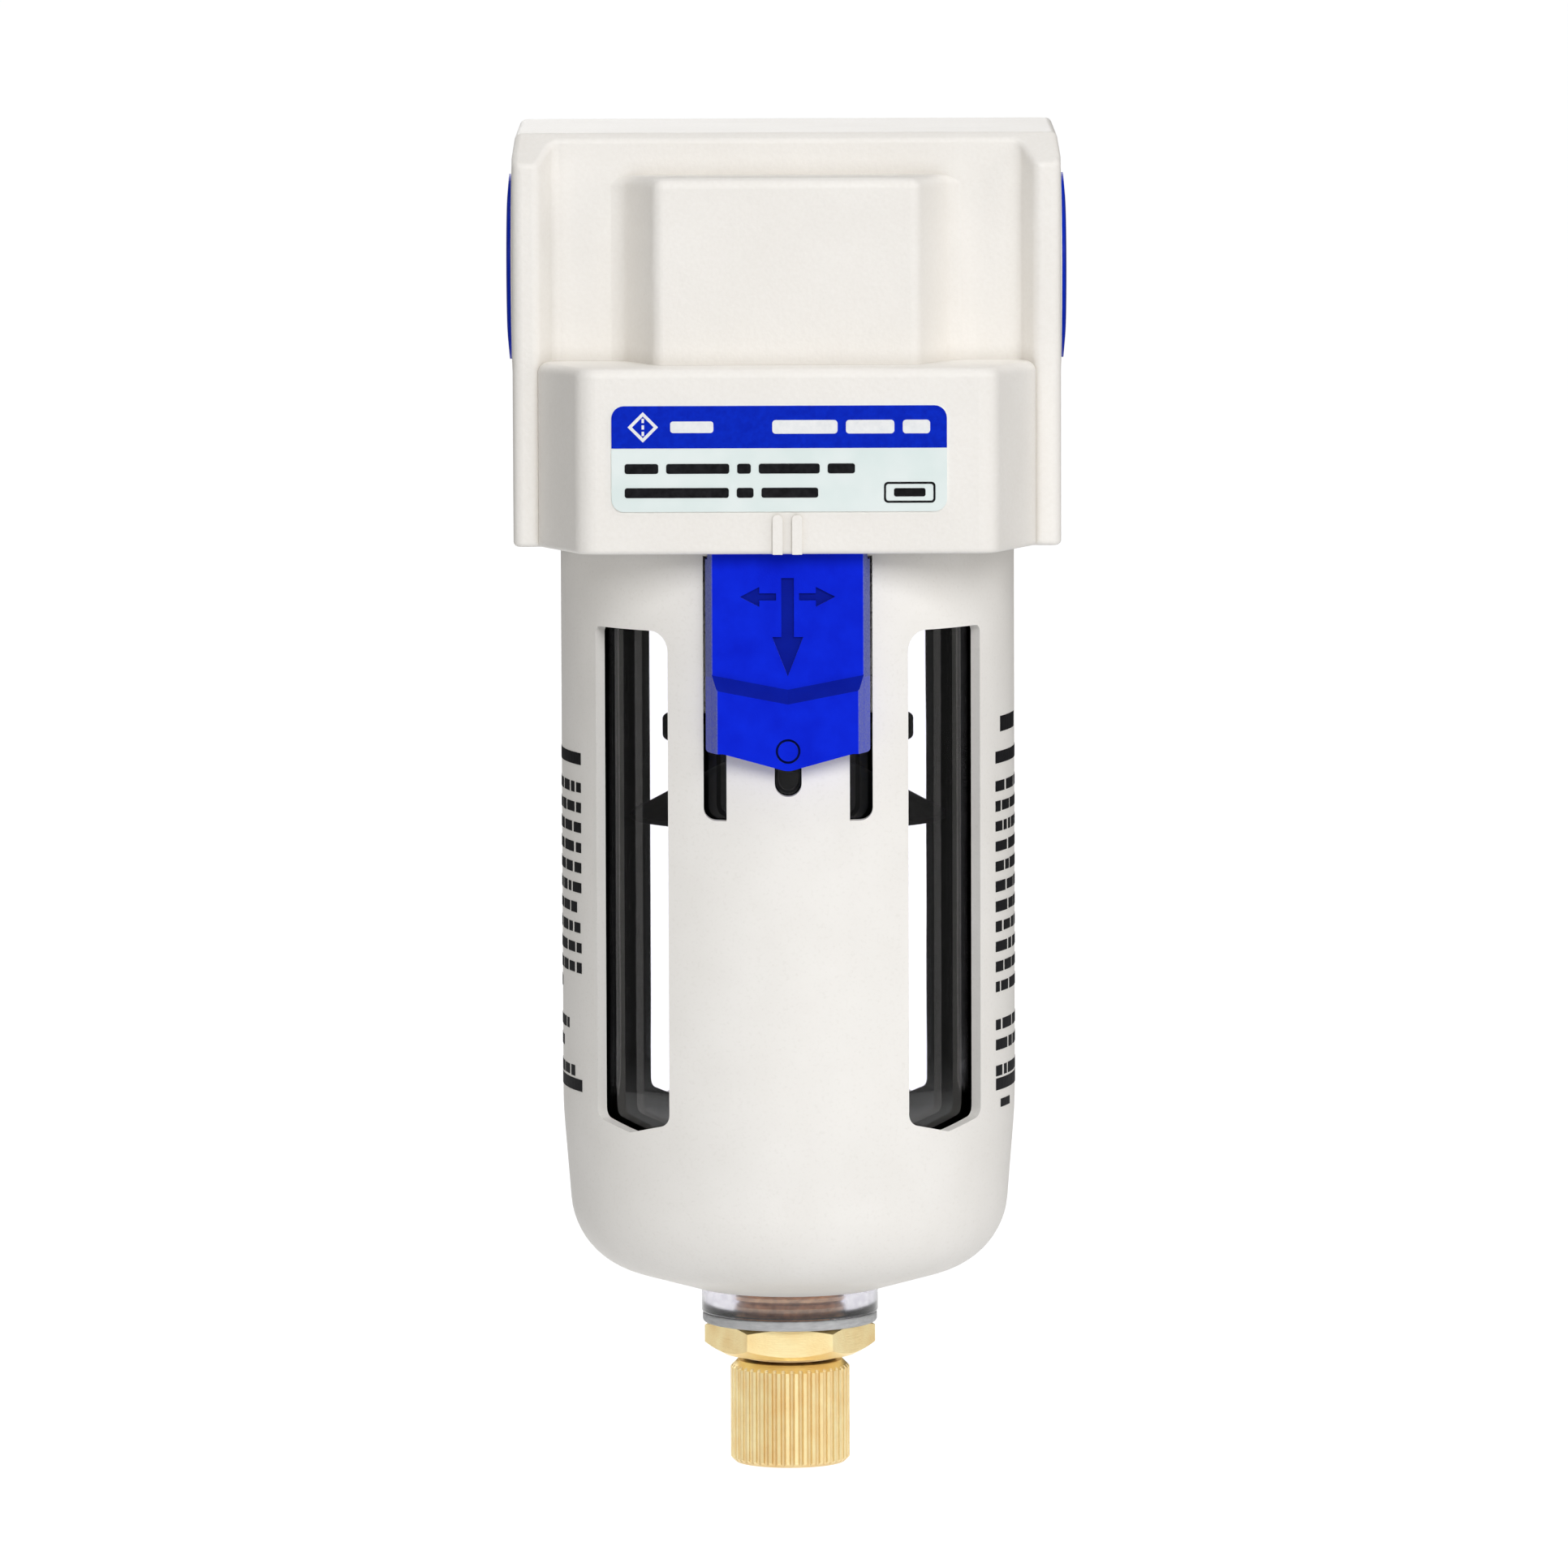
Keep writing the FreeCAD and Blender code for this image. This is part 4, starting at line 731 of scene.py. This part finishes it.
def side_print(name, middle, seed, black):
    """A block of plain bars on the guard's side, where a block of small print would be."""
    draw = random.Random(seed)
    half = math.radians(SIDE_PRINT_HALF_ANGLE) * GUARD_R
    centre = math.radians(middle) * GUARD_R
    left = centre - half
    right = centre + half
    mesh = bmesh.new()
    curved_bar(mesh, left, right, SIDE_PRINT_TOP, SIDE_RULE)
    curved_bar(mesh, left, right, SIDE_PRINT_BOTTOM, SIDE_RULE)
    curved_bar(mesh, left + SIDE_INDENT, left + HEADING_END, SIDE_PRINT_TOP + HEADING_RISE, HEADING_HEIGHT)
    curved_bar(mesh, left + SIDE_INDENT, left + LAST_END, SIDE_PRINT_BOTTOM - LAST_DROP, LAST_HEIGHT)
    rows = [(index, 1.0) for index in range(FULL_ROWS)]
    for index, share in rows + list(SHORT_ROWS):
        side_row(mesh, draw, left, left + (right - left) * share, ROW_TOP - ROW_PITCH * index)
    bmesh.ops.remove_doubles(mesh, verts=mesh.verts, dist=SAME_POINT)
    finished(name, mesh, black, "bowl_assembly")


# ---------------------------------------------------------------- lock spring

def spring_rise(turn, open_pitch):
    """How high the wire's centre has climbed: the first and the last turn are closed."""
    first = min(turn, 1.0)
    last = max(turn - (SPRING_TURNS - 1), 0.0)
    return SPRING_CLOSED_PITCH * MM * (first + last) + open_pitch * (turn - first - last)


def spring_mesh(low, high):
    """A round-wire coil with closed end turns that fills the box from low to high."""
    centre = (low + high) / 2
    wire = SPRING_WIRE_R * MM
    coil = (high.x - low.x) / 2 - wire
    open_height = high.z - low.z - 2 * wire - 2 * SPRING_CLOSED_PITCH * MM
    mesh = bmesh.new()
    rings = []
    for step in range(SPRING_TURNS * SPRING_STEPS + 1):
        turn = step / SPRING_STEPS
        height = low.z + wire + spring_rise(turn, open_height / (SPRING_TURNS - 2))
        rings.append([mesh.verts.new(on_coil(centre, coil, turn, side / SPRING_SIDES, height, wire))
                      for side in range(SPRING_SIDES)])
    for lower, upper in zip(rings, rings[1:]):
        for side in range(SPRING_SIDES):
            after = (side + 1) % SPRING_SIDES
            mesh.faces.new((lower[side], lower[after], upper[after], upper[side]))
    mesh.faces.new(list(reversed(rings[0])))
    mesh.faces.new(rings[-1])
    return mesh


def button_spring():
    """A coil spring in the place of the plain one."""
    low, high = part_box("lock_spring")
    wire_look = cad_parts["lock_spring"].data.materials[0]
    piece = finished("button_spring", spring_mesh(low, high), wire_look, "bowl_assembly")
    piece.data.shade_smooth()
    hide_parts("lock_spring")
    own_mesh(piece)


def on_coil(centre, coil, turn, share, height, wire):
    """A point on the wire's surface: share is how far round the wire it is, from 0 to 1."""
    out = coil + wire * math.cos(math.tau * share)
    return (centre.x + out * math.cos(math.tau * turn), centre.y + out * math.sin(math.tau * turn),
            height + wire * math.sin(math.tau * share))


# ---------------------------------------------------------------- floor, light and camera

def floor_glow():
    """The floor's material. How much light it gives depends on whether it is seen, reflected or scattered."""
    look = Look("floor", Roughness=0.9, Specular_IOR_Level=0.1, Base_Color=(0.12, 0.12, 0.12, 1),
                Emission_Color=(1, 1, 1, 1))
    place = look.coordinates.outputs["Object"]
    aside = look.math("ABSOLUTE", look.axis(place, "X"))
    path = look.tree.nodes.new("ShaderNodeLightPath")
    reflections = look.math("SUBTRACT", path.outputs["Ray Depth"], path.outputs["Transmission Depth"])
    through = look.both(path.outputs["Is Transmission Ray"], look.below(reflections, 0.5))
    seen = look.either(look.math("MULTIPLY", path.outputs["Is Camera Ray"], FLOOR_SEEN),
                       look.math("MULTIPLY", through, FLOOR_BEHIND))
    glow = look.fit(aside, FLOOR_BAND, 2 * FLOOR_BAND, FLOOR_GLOW, FLOOR_SIDE_GLOW)
    near = look.fit(look.length(place, (1, 1, 0)), FLOOR_NEAR, 2 * FLOOR_NEAR, FLOOR_GLOSS, 0.0)
    scattered = path.outputs["Is Diffuse Ray"]
    lit = look.either(look.both(glow, scattered), look.both(near, look.math("SUBTRACT", 1.0, scattered)))
    look.set("Emission Strength", look.either(lit, seen))
    return look.material


def floor():
    """A wide pale disc under the filter."""
    mesh = bmesh.new()
    bmesh.ops.create_circle(mesh, cap_ends=True, segments=96, radius=FLOOR_R)
    data = bpy.data.meshes.new("floor")
    mesh.to_mesh(data)
    mesh.free()
    made = bpy.data.objects.new("floor", data)
    bpy.context.scene.collection.objects.link(made)
    made.data.materials.append(floor_glow())


def softbox(name, place, width, height, power, tint=(1, 1, 1)):
    """A rectangular light that faces the filter, and that the camera and the clear bowl don't show."""
    lamp = bpy.data.lights.new(name, "AREA")
    lamp.shape = "RECTANGLE"
    lamp.size = width
    lamp.size_y = height
    lamp.energy = power
    lamp.color = tint
    made = bpy.data.objects.new(name, lamp)
    made.location = place
    made.rotation_euler = (Vector(LIGHT_AIM) - Vector(place)).to_track_quat("-Z", "Y").to_euler()
    made.visible_camera = False
    made.visible_transmission = False
    bpy.context.scene.collection.objects.link(made)


def lights():
    """Five softboxes. The left one is weaker than the right one, so that the shape reads."""
    softbox("key", (0.2, -1.15, 0.6), 0.8, 0.5, 9.4)
    softbox("right", (1.0, -0.4, 0.4), 0.35, 0.6, 2.2, (1.0, 0.96, 0.92))
    softbox("left", (-1.0, -0.4, 0.4), 0.35, 0.6, 0.8, (1.0, 0.95, 0.86))
    softbox("top", (0.0, -0.2, 1.2), 0.9, 0.7, 4.0)
    softbox("back", (-0.3, 1.0, 0.6), 0.9, 0.6, 5.5)


def sky():
    """Pale studio walls: bright to the camera, and dim as a light."""
    world = bpy.data.worlds.new("studio")
    world.use_nodes = True
    bpy.context.scene.world = world
    tree = world.node_tree
    background = tree.nodes["Background"]
    background.inputs["Color"].default_value = (1, 1, 1, 1)
    path = tree.nodes.new("ShaderNodeLightPath")
    strength = tree.nodes.new("ShaderNodeMapRange")
    strength.inputs["To Min"].default_value = SKY_GLOW
    strength.inputs["To Max"].default_value = SKY_SEEN
    tree.links.new(path.outputs["Is Camera Ray"], strength.inputs["Value"])
    tree.links.new(strength.outputs[0], background.inputs["Strength"])


def camera():
    """A long lens in front of the filter, a little above it."""
    data = bpy.data.cameras.new("camera")
    data.lens = CAMERA_LENS
    data.sensor_width = 36.0
    data.clip_start = 0.05
    data.clip_end = 50.0
    made = bpy.data.objects.new("camera", data)
    made.location = CAMERA_PLACE
    level = (Vector(CAMERA_AIM) - made.location).to_track_quat("-Z", "Y")
    lean = Quaternion((0, 0, 1), math.radians(CAMERA_LEAN))
    made.rotation_euler = (level @ lean).to_euler()
    bpy.context.scene.collection.objects.link(made)
    bpy.context.scene.camera = made


bpy.context.scene.view_settings.view_transform = "Standard"
camera()
floor()
lights()
sky()
dress_nodes()
black_ink = ink("black_ink", (0.016, 0.016, 0.018, 1), (0.006, 0.006, 0.007, 1), 0.5)
label_print(black_ink)
side_print("guard_print_left", -90.0, 3, black_ink)
side_print("guard_print_right", 90.0, 5, black_ink)
button_spring()
